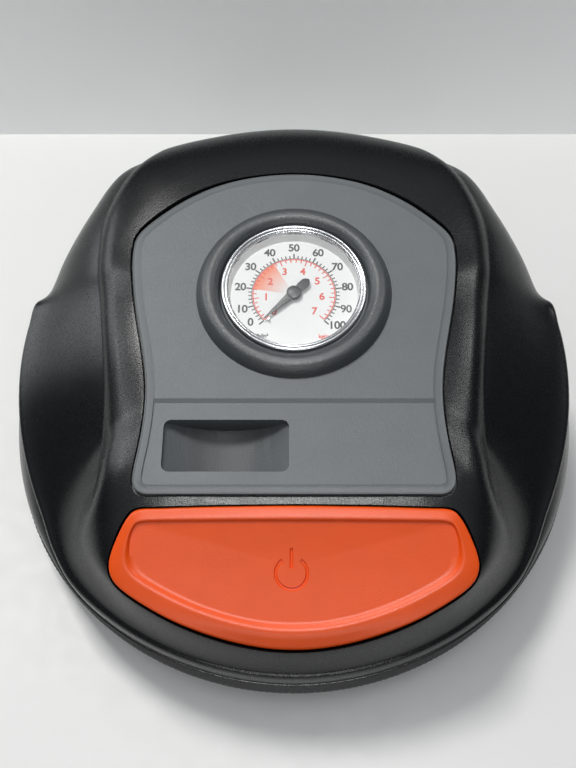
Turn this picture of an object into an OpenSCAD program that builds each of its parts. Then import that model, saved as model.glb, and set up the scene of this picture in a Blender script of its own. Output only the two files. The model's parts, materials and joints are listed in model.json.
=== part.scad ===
// Tyre inflator with a pressure gauge, in millimetres.
// The origin is the middle of the base on the floor, +Z is up and the power button faces -Y.

/* [Housing] */
// Wall thickness of the mouldings
wall = 2.4; // [2:0.1:2.6]
// Height that the middle band stands above the sides
band_raise = 2; // [1:0.1:2.2]
// Outer radius of the lower housing's rim
rim_r = 95; // [94.6:0.1:95.2]
// Number of facets round the housing
steps = 64; // [48:8:72]

/* [Fascia] */
// Tilt of the fascia towards the front
fascia_tilt = 7; // [6.5:0.1:7.5]
// Tilt of the power button
button_tilt = 30; // [29.5:0.1:30.5]
// Gap round the fascia and the power button
panel_gap = 0.5; // [0.4:0.1:0.7]

/* [Gauge] */
// Outer radius of the chrome ring
ring_r = 22.6; // [22.2:0.1:22.8]
// Depth of the gauge's case behind the fascia
case_depth = 24; // [23:0.5:24]

/* [Air hose] */
// Outer diameter of the braided hose
hose_d = 8.5; // [8:0.1:9]
// Radius of the hose's turn round the base
hose_turn_r = 92; // [91.6:0.1:92.2]

/* [Compressor] */
// Stroke of the piston
stroke = 13; // [12:0.5:13]
// Radius of the cylinder's bore
bore_r = 10; // [9.8:0.1:10.2]
// Radius of the motor's can
motor_r = 18; // [17.5:0.1:18]

/* [Hidden] */
$fn = 64;

black = [0.07, 0.075, 0.08];
grey = [0.47, 0.49, 0.50];
bezel_grey = [0.38, 0.40, 0.41];
orange = [0.86, 0.33, 0.14];
steel = [0.72, 0.73, 0.75];
brass = [0.80, 0.66, 0.36];
alloy = [0.66, 0.67, 0.69];
rubber = [0.09, 0.09, 0.09];
copper = [0.72, 0.40, 0.22];

// Heights of the base, from the floor up
foot_h = 2.6;
floor_z = 2;
floor_top = 5;
groove_low = 9.2;
groove_high = 19.4;
flange_top = 22;
hose_z = 14.2;
tub_r = 87.3;
seam_gap = 0.25;

// Underside of the switch's foot, below the power button's face
switch_foot = -24.4;

// Places of the fascia's and the power button's own axes
fascia_at = [0, 11, 72];
button_at = [0, -57, 62.5];

// Sections through the upper housing from its lower rim to its crown, at bearings from the
// front (-90) past the side (0) to the back (90). Each point is [radius, height].
SECTIONS = [
    [-90, [[95.5, 24], [95.7, 28.6], [95.2, 30.5], [94.3, 30.8], [93.7, 32.2], [92.5, 36.4],
        [91.3, 41.6], [90, 44.3], [82, 48.6], [70, 55.4], [58, 62.4], [42, 64.2]]],
    [-75, [[95.4, 24], [95.6, 28.7], [95.1, 30.6], [94.2, 30.9], [93.6, 32.3], [92.4, 37.4],
        [91.2, 43.6], [89.9, 46.5], [81.4, 50.8], [70, 57], [59, 62.6], [42, 64.3]]],
    [-65, [[95.4, 24], [95.6, 28.8], [95.1, 30.7], [94.1, 31], [93.3, 32.6], [92.1, 39],
        [90.9, 46.4], [89.6, 49.5], [81.4, 53.6], [71.4, 58.6], [60.6, 63], [42, 64.4]]],
    [-56, [[95.5, 24.2], [95.7, 29], [95.1, 31], [94, 31.4], [92.9, 33.2], [91.5, 41],
        [90.3, 49.6], [88.8, 52.9], [81.4, 56.8], [72, 60.8], [61, 63.8], [42, 64.7]]],
    [-45, [[95.3, 24.6], [95.6, 29.4], [94.9, 31.4], [93.6, 31.9], [91.6, 34.2], [89, 40],
        [86.4, 46.6], [82.4, 52.8], [76.8, 58], [69.6, 61.8], [59, 64], [42, 65]]],
    [-38, [[93.6, 26.6], [93.9, 30.8], [93.2, 32.6], [91.8, 33], [89.2, 35.2], [85, 40.4],
        [80.6, 46], [76, 51.6], [71.4, 57], [65.6, 61.6], [56, 64.4], [42, 65.3]]],
    [-30, [[91, 29.6], [91.5, 33.4], [90.8, 35.2], [89.4, 35.6], [85.8, 38], [80.4, 42.8],
        [75, 48], [69.6, 53.2], [64.6, 58], [58.8, 62.4], [51.8, 65], [42, 66]]],
    [-10, [[89.2, 39], [89.7, 42.8], [89, 44.7], [87.6, 45.2], [84.4, 46.7], [79, 50.2],
        [73, 54.5], [66.8, 58.8], [60.6, 63.4], [54.6, 66.6], [48, 67.9], [42, 68.1]]],
    [9, [[89.2, 44.4], [89.7, 48.2], [89, 50.1], [87.7, 50.5], [85, 51.7], [80, 54.7],
        [74.2, 58.6], [68.2, 62.4], [62.6, 65.9], [57, 68.6], [50, 69.9], [42, 70]]],
    [14.5, [[89.8, 45.6], [90.1, 49.4], [89.4, 51.3], [88.1, 51.7], [85.8, 52.7], [81.4, 55.3],
        [76, 59], [70.2, 63], [64.8, 66.6], [59.2, 69.3], [51.6, 70.6], [42, 70.5]]],
    [19.5, [[90.6, 33], [90.6, 38.4], [90.3, 42.4], [89.4, 46.4], [87.4, 50.2], [84, 54.2],
        [79.8, 58.4], [74.6, 62.8], [69, 67], [63, 70], [53.6, 71.6], [42, 71]]],
    [27, [[91, 29], [91, 35], [91, 40], [90.9, 45.4], [89.9, 50.3], [87.3, 55.2],
        [83.4, 59.9], [78.2, 64.4], [72.3, 68.4], [65.6, 71.2], [55, 72.3], [42, 71.4]]],
    [38, [[92.4, 24], [92.5, 31], [92.6, 37], [92.8, 43], [92.6, 49.4], [91, 56.4],
        [87.4, 62.8], [81.8, 68.2], [74.6, 72], [66.4, 73.8], [56, 73.8], [42, 72.2]]],
    [48, [[93.2, 24], [93.3, 31], [93.4, 37.8], [93.6, 44.4], [93.8, 51], [93.6, 58.5],
        [90.9, 65.6], [85.4, 71], [77.2, 74.3], [67.8, 75.3], [56, 74.7], [42, 72.9]]],
    [57, [[93.4, 24], [93.4, 31], [93.4, 38], [93.3, 44.6], [93.1, 51.3], [92.3, 59],
        [89.6, 65.7], [84.5, 70.9], [76.9, 74.3], [67.6, 75.6], [56, 75.2], [42, 73.3]]],
    [72, [[93.4, 24], [93.4, 31], [93.4, 38], [93.3, 44.5], [92.9, 51], [91.6, 58.1],
        [88.4, 64.9], [83, 70.2], [75.6, 73.7], [66.6, 75.4], [56, 75.4], [42, 73.7]]],
    [90, [[93.5, 24], [93.5, 31], [93.5, 38], [93.4, 44.5], [93, 51], [91.6, 58],
        [88, 64.8], [82.4, 70.2], [75, 73.8], [66, 75.4], [56, 75.5], [42, 73.8]]]
];
// Half width of the raised middle band, as [y, x]
BAND = [[-60, 60], [-45, 57], [-20, 56.6], [6, 59.8], [24, 62.4], [46, 61.4], [74, 49], [96, 40]];
band_edge = 6;

// Corners of the control polygons of the right half of each outline
FASCIA_EDGE = [[0, 45.4], [13, 44.1], [25, 40.7], [36, 34.5], [45, 26.8], [50.4, 20.6],
    [51, 14], [50.6, 7], [48.8, -5], [45.6, -19], [43.6, -30], [43.2, -40], [44, -50],
    [45.2, -58], [45.2, -62.4], [42.6, -65.1], [38, -65.1], [18, -65.1], [0, -65.1]];
BUTTON_EDGE = [[0, 0.3], [20, 0.1], [38, -0.4], [44, -0.7], [46.4, -3.2], [48.6, -7.4],
    [51, -13.4], [51.4, -17.6], [49.4, -21.8], [42, -27], [32, -32.4], [20, -36.8],
    [9, -39.2], [0, -39.8]];
BUTTON_FIELD = [[0, -4], [22, -4.1], [38, -4.2], [43.6, -4.3], [45.2, -7.4], [45.6, -12],
    [45, -16], [42, -19.2], [34, -23.8], [22, -28.8], [10, -31.6], [0, -32.2]];

// The hose's turn round the base starts at one bearing and ends, after its sweep, in a
// tighter turn towards its connector
hose_from = 64;
hose_sweep = 304;
hose_end = hose_from - hose_sweep;
end_turn = 16;
elbow_at = 72;
gland_at = 130;
gland_z = 32;

// Compressor layout
shaft_z = 26;
motor_x = -30;
motor_front = 18;
motor_len = 54;
gear_module = 0.8;
pinion_teeth = 10;
gear_teeth = 44;
crank_x = motor_x + gear_module * (pinion_teeth + gear_teeth) / 2;
gear_y = 25.5;
gear_t = 5;
rod_y = 40;
rod_t = 4;
rod_len = 32;
crank_r = stroke / 2;
wrist_x = crank_x - crank_r + rod_len;
skirt_x = 12;
bracket_y = 18;
bracket_t = 5;
cyl_end = 37.6;
gasket_t = 0.5;
head_x = cyl_end + gasket_t;
head_len = 12;
head_half = 16;
head_bolt = 12.4;

// ---- shared functions ----

function clamp(v, low, high) = max(low, min(high, v));
function ease(t) = let (c = clamp(t, 0, 1)) c * c * (3 - 2 * c);
function slot_of(tab, key) =
    max([for (k = [0:len(tab) - 2]) if (k == 0 || tab[k][0] <= key) k]);
function slope(tab, k) =
    (k == 0 || k == len(tab) - 1) ? 0 * tab[0][1]
    : (tab[k + 1][1] - tab[k - 1][1]) / (tab[k + 1][0] - tab[k - 1][0]);
// Value of a table of [key, value] rows at any key, on a smooth curve through the rows
function table_at(tab, key) =
    let (k = slot_of(tab, key), span = tab[k + 1][0] - tab[k][0],
        t = clamp((key - tab[k][0]) / span, 0, 1), a = tab[k][1], b = tab[k + 1][1],
        ma = slope(tab, k) * span, mb = slope(tab, k + 1) * span)
    a * (2 * t * t * t - 3 * t * t + 1) + ma * (t * t * t - 2 * t * t + t)
    + b * (3 * t * t - 2 * t * t * t) + mb * (t * t * t - t * t);
// Point at t on the cubic spline that a row of control points draws
function spline(c, t) =
    let (n = len(c) - 1, i = floor(t), f = t - i,
        p = [for (k = [-1:2]) c[clamp(i + k, 0, n)]])
    (p[0] * pow(1 - f, 3) + p[1] * (3 * f * f * f - 6 * f * f + 4)
    + p[2] * (1 + 3 * f + 3 * f * f - 3 * f * f * f) + p[3] * f * f * f) / 6;
// Closed smooth outline from the control polygon of its right half
function mirrored(half) =
    concat(half, [for (k = [len(half) - 2:-1:1]) [-half[k][0], half[k][1]]]);
function outline(half, cuts = 3) =
    let (c = mirrored(half), n = len(c))
    [for (k = [0:n - 1], j = [0:cuts - 1])
        let (t = j / cuts, a = (c[(k + n - 1) % n] + c[k]) / 2, b = (c[k] + c[(k + 1) % n]) / 2)
        a * pow(1 - t, 2) + c[k] * 2 * t * (1 - t) + b * t * t];

// ---- housing surface ----

// Bearing from the front over either side to the back, as the sections count it
function bearing(a) = asin(sin(a));
function section(a) = table_at(SECTIONS, bearing(a));
function raise_at(x, y) =
    let (t = clamp((table_at(BAND, clamp(y, -60, 96)) - abs(x)) / band_edge, 0, 1))
    band_raise * t * (2 - t) * ease((y + 60) / 18);
// Point of the housing's surface at bearing a and place t along the section, moved in by depth
function skin(a, t, depth) =
    let (c = section(a), p = spline(c, t), e = 0.02,
        d = spline(c, min(t + e, len(c))) - spline(c, max(t - e, -1)),
        n = [d[1], -d[0]] / norm(d),
        q = p + n * (raise_at(p[0] * cos(a), p[0] * sin(a)) - depth))
    [q[0] * cos(a), q[0] * sin(a), q[1]];

// Closed ring made of one loop of points at each bearing
module ring_of(loops) {
    n = len(loops);
    m = len(loops[0]);
    points = [for (l = loops) each l];
    faces = [for (i = [0:n - 1], j = [0:m - 1])
        let (a = i * m + j, b = i * m + (j + 1) % m, c = ((i + 1) % n) * m + (j + 1) % m,
            d = ((i + 1) % n) * m + j)
        each [[a, b, c], [a, c, d]]];
    polyhedron(points, faces);
}

// Tube that follows a list of points, with flat ends
function unit(v) = v / norm(v);
function square_to(u, w) = unit(u - w * (u * w));
module tube_along(path, r, sides = 8) {
    n = len(path);
    ways = [for (i = [0:n - 1]) unit(path[min(i + 1, n - 1)] - path[max(i - 1, 0)])];
    across = [for (i = 0, u = square_to([0.3, 0.2, 1], ways[0]); i < n;
        i = i + 1, u = square_to(u, ways[min(i, n - 1)])) u];
    points = [for (i = [0:n - 1], k = [0:sides - 1])
        path[i] + r * (across[i] * cos(360 * k / sides) + cross(across[i], ways[i]) * sin(360 * k / sides))];
    walls = [for (i = [0:n - 2], k = [0:sides - 1])
        let (a = i * sides + k, b = i * sides + (k + 1) % sides)
        each [[a, a + sides, b + sides], [a, b + sides, b]]];
    ends = [[for (k = [0:sides - 1]) k], [for (k = [sides - 1:-1:0]) (n - 1) * sides + k]];
    polyhedron(points, concat(walls, ends));
}
// Coil spring along +Z
module coil(r, wire_r, height, turns) {
    tube_along([for (k = [0:turns * 10])
        [r * cos(36 * k), r * sin(36 * k), wire_r + (height - 2 * wire_r) * k / (turns * 10)]],
        wire_r, 6);
}
// Smooth path through control points, used for the inner air tubes
function path_of(c, cuts = 3) =
    [for (i = [-1 * cuts:(len(c) - 1) * cuts + cuts]) spline(c, i / cuts)];

// ---- shared shapes ----

module on_fascia() {
    translate(fascia_at) rotate([fascia_tilt, 0, 0]) children();
}
module on_button() {
    translate(button_at) rotate([button_tilt, 0, 0]) children();
}
// Disc or tube along +Z
module tube(r_out, r_in, z_low, z_high) {
    translate([0, 0, z_low]) difference() {
        cylinder(r = r_out, h = z_high - z_low);
        if (r_in > 0) translate([0, 0, -1]) cylinder(r = r_in, h = z_high - z_low + 2);
    }
}
// Moves a shape drawn along +Z so that it runs along +Y or +X from the given point
module along_y(at) {
    translate(at) rotate([-90, 0, 0]) children();
}
module along_x(at) {
    translate(at) rotate([0, 90, 0]) children();
}
// Pan-head screw whose head's underside is at the origin and whose shank runs down -Z
module pan_screw(shank_r, length, head_r, head_h) {
    difference() {
        union() {
            translate([0, 0, -length]) cylinder(r = shank_r, h = length + 0.1);
            cylinder(r = head_r, h = head_h);
        }
        for (a = [0, 90]) rotate([0, 0, a])
            translate([-head_r * 0.6, -0.35, head_h - 0.8]) cube([head_r * 1.2, 0.7, 1]);
    }
}
module gear_blank(teeth, module_size) {
    pitch = 360 / teeth;
    root = module_size * (teeth / 2 - 1.25);
    tip = module_size * (teeth / 2 + 0.9);
    polygon([for (k = [0:teeth - 1], s = [[root, -0.3], [tip, -0.1], [tip, 0.1], [root, 0.3]])
        s[0] * [cos(pitch * (k + s[1])), sin(pitch * (k + s[1]))]]);
}

// ---- housing ----

post_spots = [[55, -37], [-55, -37], [58, 48], [-58, 48]];
post_tops = [53.5, 53.5, 68.8, 68.8];
post_join = 26;

module upper_shell() {
    outer = [-1, 0, 0.5, 1, 1.5, 2, 2.5, 3, 3.5, 4, 5, 5.6, 6.2, 6.8, 7.4, 8, 8.6, 9.3, 11.6];
    inner = [11.6, 9.3, 8.4, 7.6, 6.8, 6, 5, 4, 0, -1];
    ring_of([for (i = [0:steps - 1]) let (a = 360 * i / steps)
        concat([for (t = outer) skin(a, t, 0)], [for (t = inner) skin(a, t, wall)])]);
}
seat_z = -2.6;
seat_t = 1.8;
fascia_screw_spots = [[39, -28], [-39, -28], [39, 25.5], [-39, 25.5]];
hinge_y = -3;
hinge_z = -8;
hinge_x = 40;
hinge_w = 3.6;
button_depth = 5.6;
strip_depth = 3.8;
strip_y = -9;
function grown(half, by) = [for (p = half) [p[0] * (1 + by / 50), p[1] + (p[1] > -10 ? by : -by)]];
module button_prism(depth) {
    translate([0, 0, -depth]) linear_extrude(20) polygon(outline(grown(BUTTON_EDGE, panel_gap)));
}
module upper_housing() {
    color(black) difference() {
        union() {
            difference() {
                union() {
                    difference() {
                        upper_shell();
                        on_fascia() translate([0, 0, seat_z]) linear_extrude(20)
                            polygon(outline([for (p = FASCIA_EDGE) p * (1 + panel_gap / 50)]));
                    }
                    on_fascia() translate([0, 0, seat_z - seat_t]) linear_extrude(seat_t)
                        polygon(outline([for (p = FASCIA_EDGE) p * 1.03]));
                }
                on_fascia() translate([0, 0, -8]) linear_extrude(20)
                    polygon(outline([for (p = FASCIA_EDGE) p * 0.94]));
            }
            on_fascia() for (p = fascia_screw_spots) translate([p[0], p[1], seat_z - seat_t])
                cylinder(r = 4.2, h = seat_t);
            on_button() for (x = [hinge_x, -hinge_x - hinge_w])
                translate([x, -6, hinge_z - 2.6]) cube([hinge_w, 8, 8.2]);
            for (k = [0:3]) translate([post_spots[k][0], post_spots[k][1], post_join])
                cylinder(r = 4, h = post_tops[k] - post_join);
        }
        on_fascia() for (p = fascia_screw_spots) translate([p[0], p[1], -8]) cylinder(r = 1.25, h = 10);
        on_button() {
            button_prism(strip_depth);
            intersection() {
                button_prism(button_depth);
                translate([-80, strip_y - 60, -20]) cube([160, 60, 40]);
            }
            along_x([-hinge_x - hinge_w - 1, hinge_y, hinge_z])
                cylinder(r = 1.56, h = 2 * (hinge_x + hinge_w + 1));
        }
        rotate([0, 0, gland_at - 90]) along_y([0, 80, gland_z]) cylinder(r = 4.55, h = 20);
        for (p = post_spots) translate([p[0], p[1], post_join - 1]) cylinder(r = 1.5, h = 13);
    }
}

// Rim of the lower housing, which rises at both sides to meet the upper housing
module lower_rim() {
    ring_of([for (i = [0:steps - 1])
        let (a = -360 * i / steps, rim = section(a)[0], top = rim[1] - seam_gap, r = rim[0],
            mid = (flange_top + top) / 2)
        [for (p = [[rim_r - 9, groove_high], [rim_r - 9, flange_top], [r - wall - 0.6, flange_top + 0.6],
            [r - wall, top], [r, top], [max(r, (r + rim_r) / 2 + 0.7), mid],
            [max(r, rim_r), flange_top - 0.4], [max(r, rim_r) - 1.2, groove_high]])
            [p[0] * cos(a), p[0] * sin(a), p[1]]]]);
}
dock_turn = hose_end - end_turn - 90;
dock_y = hose_turn_r / 2 * (1 + cos(end_turn));
dock_x = -hose_turn_r / 2 * sin(end_turn);
module in_dock() {
    rotate([0, 0, dock_turn]) translate([0, dock_y, hose_z]) children();
}
module lower_housing() {
    color(black) difference() {
        union() {
            rotate_extrude() polygon([[0, floor_z], [84, floor_z], [88, 3.6], [90, 6], [90, groove_low],
                [tub_r, groove_low], [tub_r, flange_top], [tub_r - wall, flange_top],
                [tub_r - wall, floor_top], [0, floor_top]]);
            lower_rim();
            for (p = post_spots) translate([p[0], p[1], floor_top - 0.5])
                cylinder(r = 4, h = post_join - floor_top + 0.5);
            for (x = lug_spots) translate([x[0], x[1], floor_top - 0.5]) cylinder(r = 3.6, h = 3.5);
            rotate([0, 0, dock_turn]) translate([-20, 76, floor_top - 0.5]) cube([42, 10, 15]);
            difference() {
                for (x = [-11, 15]) translate([x, -67.3, floor_top - 0.5]) cylinder(r = 2.6, h = 30);
                on_button() translate([-30, -60, switch_foot]) cube(60);
            }
        }
        for (p = post_spots) translate([p[0], p[1], 0]) {
            cylinder(r = 1.8, h = 40);
            cylinder(r = 3.2, h = 14);
        }
        for (x = [-1, 1], y = [-1, 1]) translate([x * 46, y * 50, 0])
            cylinder(r = 8.1, h = floor_z + 1);
        for (x = lug_spots) translate([x[0], x[1], floor_top + 0.5]) cylinder(r = 1.3, h = 4);
        in_dock() along_x([-20, 0, 0]) cylinder(r = 7, h = 42);
        rotate([0, 0, elbow_at - 90]) along_y([0, 80, hose_z]) cylinder(r = 3.05, h = 12);
        for (k = [-3:3]) translate([-31 + k * 6, -22, 0]) cube([2.4, 34, 10]);
        for (k = [0:3]) translate([19 + k * 5, 28, 0]) cube([2.4, 24, 10]);
    }
}
module rubber_feet() {
    color(rubber) for (x = [-1, 1], y = [-1, 1]) translate([x * 46, y * 50, 0]) rotate_extrude()
        polygon([[0, 0], [7, 0], [8, 0.8], [8, foot_h + 0.4], [0, foot_h + 0.4]]);
}
module housing_screws() {
    color(steel) for (p = post_spots) translate([p[0], p[1], 14]) rotate([180, 0, 0])
        pan_screw(1.45, 20, 2.9, 2);
}

// ---- fascia ----

tray = [[-37.4, -58.5], [-1.4, -42.8]];
tray_size = tray[1] - tray[0];
tray_depth = 9.4;
tray_wall = 1.6;
scoop_r = 26;
fascia_t = 2.4;
module fascia_panel() {
    color(grey) on_fascia() difference() {
        union() {
            translate([0, 0, -fascia_t]) linear_extrude(fascia_t) polygon(outline(FASCIA_EDGE));
            translate([tray[0][0] - tray_wall, tray[0][1] - tray_wall, -tray_depth - tray_wall])
                cube([tray_size[0] + 2 * tray_wall, tray_size[1] + 2 * tray_wall, tray_depth]);
        }
        translate([0, 0, -4]) cylinder(r = 21.3, h = 8);
        intersection() {
            translate([tray[0][0], tray[0][1], -20]) cube([tray_size[0], tray_size[1], 30]);
            along_y([(tray[0][0] + tray[1][0]) / 2, tray[0][1] - 1, scoop_r - tray_depth])
                cylinder(r = scoop_r, h = 20);
        }
        for (p = fascia_screw_spots) translate([p[0], p[1], -fascia_t - 1]) cylinder(r = 1.05, h = 2.9);
    }
}
module fascia_screws() {
    color(steel) on_fascia() for (p = fascia_screw_spots)
        translate([p[0], p[1], seat_z - seat_t - 0.05]) rotate([180, 0, 0]) pan_screw(1, 3.7, 2.2, 1.3);
}
module gauge_bezel_ring() {
    color(bezel_grey) on_fascia() rotate_extrude() intersection() {
        translate([22.9, 0.05]) square([7.2, 8]);
        translate([26.5, 0.2]) circle(r = 4.2);
    }
}

// ---- gauge ----

module gauge_case() {
    color(steel) on_fascia() difference() {
        union() {
            tube(20.8, 0, -case_depth, 0.6);
            tube(22, 0, 0.1, 0.9);
        }
        tube(20, 0, -case_depth + 0.8, 2);
        along_y([0, -24, -16]) cylinder(r = 3.3, h = 10);
    }
}
module gauge_chrome_ring() {
    color("silver") on_fascia() rotate_extrude() difference() {
        polygon([[20.2, 2.5], [20.8, 3.2], [21.8, 3.4], [22.5, 2.6], [ring_r, 1], [20.2, 1]]);
        translate([19, 0]) square([2.1, 2.45]);
    }
}
module gauge_lens() {
    color([0.85, 0.9, 0.95, 0.35]) on_fascia() tube(21, 0, 1, 2.4);
}
stop_at = [-7.7, -9.2];
module gauge_dial() {
    color("white") on_fascia() difference() {
        tube(19.8, 1.4, -3, -2.4);
        translate([stop_at[0], stop_at[1], -4]) cylinder(r = 0.42, h = 3);
    }
}
module gauge_stop_pin() {
    color(steel) on_fascia() translate([stop_at[0], stop_at[1], -4.3]) cylinder(r = 0.4, h = 3.3);
}
sector_at = [0, 15.6];
movement_posts = [[-6.5, -4], [6.5, -4], [-7, 15], [7, 15]];
module movement_plate() {
    difference() {
        union() {
            translate([-8.5, -6]) square([17, 23]);
            translate([-9.5, -11]) square([13.5, 6]);
            translate([-6, -9]) square([12, 4]);
        }
        circle(r = 0.85);
        translate(sector_at) circle(r = 0.85);
    }
}
module gauge_movement_frame() {
    color(brass) on_fascia() {
        difference() {
            union() {
                for (z = [-4.4, -12]) translate([0, 0, z]) linear_extrude(1) movement_plate();
                for (p = movement_posts) translate([p[0], p[1], -11.5]) cylinder(r = 1.5, h = 7.6);
                translate([-3.5, -13, -13.75]) cube([7, 7.2, 2.4]);
            }
            translate([stop_at[0], stop_at[1], -5]) cylinder(r = 0.42, h = 3);
        }
    }
}
module bourdon_tube() {
    color(copper) on_fascia() translate([0, 0, -17.6]) rotate([0, 0, -80]) rotate_extrude(angle = 270)
        difference() {
            translate([14.9, 0]) square([2, 4.2]);
            translate([15.4, 0.5]) square([1, 3.2]);
        }
}
module gauge_socket() {
    color(brass) on_fascia() difference() {
        union() {
            translate([-4.5, -17.2, -19.4]) cube([9, 8.2, 5.6]);
            along_y([0, -21.3, -16]) cylinder(r = 3.2, h = 5.6);
            along_y([0, -26, -16]) cylinder(r = 4.4, h = 4.8, $fn = 6);
            along_y([0, -34, -16]) cylinder(r = 2, h = 8.4);
        }
        along_y([0, -35, -16]) cylinder(r = 1, h = 22);
        translate([0, 0, -17.7]) rotate([0, 0, -80.5]) rotate_extrude(angle = 30)
            translate([14.8, 0]) square([2.2, 5]);
    }
}
module pointer_arbor() {
    color(brass) on_fascia() {
        tube(0.8, 0, -12, -0.8);
        translate([0, 0, -9.4]) linear_extrude(2.6) gear_blank(10, 0.4);
    }
}
zero_bearing = 225;
module gauge_pointer() {
    color([0.16, 0.17, 0.18]) on_fascia() translate([0, 0, -1.7]) difference() {
        union() {
            cylinder(r = 2.1, h = 1.2);
            rotate([0, 0, zero_bearing]) translate([0, 0, 0.3]) linear_extrude(0.5)
                polygon([[-1.5, -1.2], [-4.6, -0.9], [-5.4, 0], [-4.6, 0.9], [-1.5, 1.2], [13, 0.25],
                    [13, -0.25]]);
        }
        translate([0, 0, -1]) cylinder(r = 0.8, h = 3);
    }
}
sector_from = -136;
module wedge(start, sweep, reach) {
    rotate(start) polygon([[0, 0], [reach, 0], [reach, reach * tan(sweep)]]);
}
module sector_gear() {
    color(brass) on_fascia() translate([sector_at[0], sector_at[1], 0]) {
        tube(0.78, 0, -12, -3.6);
        translate([0, 0, -9]) linear_extrude(1.8) {
            difference() {
                intersection() {
                    gear_blank(68, 0.4);
                    wedge(sector_from, 52, 30);
                }
                intersection() {
                    difference() {
                        circle(r = 11.4);
                        circle(r = 3.4);
                    }
                    wedge(sector_from + 5, 42, 20);
                }
            }
            circle(r = 2.4);
            translate([-3.6, -0.9]) square([3.6, 1.8]);
        }
    }
}
link_from = [-15.66, -2.76];
link_to = [-3.5, 15.2];
module tip_link() {
    color(steel) on_fascia() {
        translate([link_from[0], link_from[1], -13.1]) cylinder(r = 0.6, h = 3);
        translate([link_from[0], link_from[1], -10.6])
            rotate([0, 0, atan2(link_to[1] - link_from[1], link_to[0] - link_from[0])])
                translate([0, -0.8, 0]) cube([norm(link_to - link_from), 1.6, 0.9]);
    }
}

// ---- motor ----

module motor_line() {
    along_y([motor_x, 0, shaft_z]) children();
}
motor_back = motor_front - motor_len;
module motor_can() {
    color(steel) motor_line() difference() {
        tube(motor_r, 0, motor_back, motor_front);
        tube(motor_r - 1.2, 0, motor_back - 1, motor_front - 1.2);
        tube(5.05, 0, motor_front - 2, motor_front + 1);
        for (a = [0:60:300]) rotate([0, 0, a]) translate([11, 0, motor_front - 2])
            cylinder(r = 1.9, h = 3);
        for (a = [90, 270]) rotate([0, 0, a]) translate([12.5, 0, motor_front - 2])
            cylinder(r = 1.3, h = 3);
    }
}
module motor_end_cap() {
    color(black) motor_line() difference() {
        union() {
            tube(motor_r - 1.25, 0, motor_back, motor_back + 4.6);
            for (a = [0, 180]) rotate([0, 0, a]) translate([5.4, -3.2, motor_back + 4])
                cube([8.6, 6.4, 7.4]);
        }
        tube(3.05, 0, motor_back - 1, motor_back + 6);
        for (a = [0, 180]) rotate([0, 0, a]) translate([5.3, -2.05, motor_back + 5.4])
            cube([8, 4.1, 4.1]);
    }
}
module motor_brushes() {
    color([0.2, 0.2, 0.2]) motor_line() for (a = [0, 180]) rotate([0, 0, a])
        translate([5.15, -2, motor_back + 5.45]) cube([7, 4, 4]);
}
module motor_magnets() {
    color([0.35, 0.35, 0.37]) motor_line() for (a = [-55, 125]) rotate([0, 0, a])
        translate([0, 0, motor_front - 38]) rotate_extrude(angle = 110)
            translate([13, 0]) square([3.7, 28]);
}
module motor_bearings() {
    color(brass) motor_line() {
        tube(5, 1.66, motor_front - 4, motor_front + 0.5);
        tube(3, 1.66, motor_back, motor_back + 4);
    }
}
module motor_shaft() {
    color(steel) motor_line() tube(1.6, 0, motor_back - 10, gear_y + gear_t + 1);
}
module motor_armature() {
    color(copper) motor_line() difference() {
        union() {
            tube(12.4, 0, motor_front - 34, motor_front - 14);
            tube(9, 0, motor_front - 38, motor_front - 10);
        }
        tube(1.6, 0, -60, 60);
        for (a = [0:72:288]) rotate([0, 0, a]) translate([10.4, -0.7, -60]) cube([4, 1.4, 120]);
    }
}
module commutator() {
    color(copper) motor_line() tube(5, 1.6, motor_back + 5, motor_front - 38.3);
}
module motor_pinion() {
    color(steel) motor_line() difference() {
        translate([0, 0, gear_y]) linear_extrude(gear_t) gear_blank(pinion_teeth, gear_module);
        tube(1.6, 0, 0, 60);
    }
}
module cooling_fan() {
    color(orange * 0.4) motor_line() difference() {
        union() {
            tube(4, 0, motor_back - 9, motor_back - 2);
            tube(7, 0, motor_back - 9, motor_back - 7.6);
            for (a = [0:60:300]) rotate([0, 0, a]) translate([0, 0, motor_back - 9])
                rotate([0, 0, 20]) translate([3, -0.6, 0]) cube([12.4, 1.2, 6]);
        }
        tube(1.6, 0, -60, 60);
    }
}

// ---- gearbox and crank ----

lug_spots = [[-54, 20.5], [26, 20.5], [19, 58.5]];
lug_h = 9.6;
module gearbox_bracket() {
    color(alloy) difference() {
        union() {
            translate([-49, bracket_y, 8.4]) cube([65, bracket_t, 38]);
            translate([skirt_x, bracket_y, 9.4]) cube([4, 38.4, 33.2]);
            translate([-59, bracket_y, lug_h]) cube([12, bracket_t, 3]);
            translate([15, bracket_y, lug_h]) cube([16, bracket_t, 3]);
            translate([14, 52.4, lug_h]) cube([7, 4, 3]);
            for (p = lug_spots) translate([p[0], p[1], lug_h]) cylinder(r = 5, h = 3);
        }
        motor_line() tube(5.1, 0, 10, 40);
        along_y([crank_x, 0, shaft_z]) tube(8, 0, 10, 40);
        for (a = [90, 270]) motor_line() rotate([0, 0, a]) translate([12.5, 0, 10])
            cylinder(r = 1.3, h = 20);
        along_x([skirt_x - 1, rod_y, shaft_z]) cylinder(r = 12.05, h = 6);
        for (y = [-1, 1], z = [-1, 1]) along_x([skirt_x - 1, rod_y + y * head_bolt, shaft_z + z * head_bolt])
            cylinder(r = 1.2, h = 6);
        for (y = [-1, 1], z = [-1, 1]) along_x([skirt_x + 4, rod_y + y * head_bolt, shaft_z + z * head_bolt])
            cylinder(r = 1.75, h = 10);
        for (p = lug_spots) translate([p[0], p[1], 0]) {
            cylinder(r = 3, h = 20);
            cylinder(r = 4.7, h = lug_h);
            translate([0, 0, lug_h + 3]) cylinder(r = 4.7, h = 3);
        }
    }
}
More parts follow.
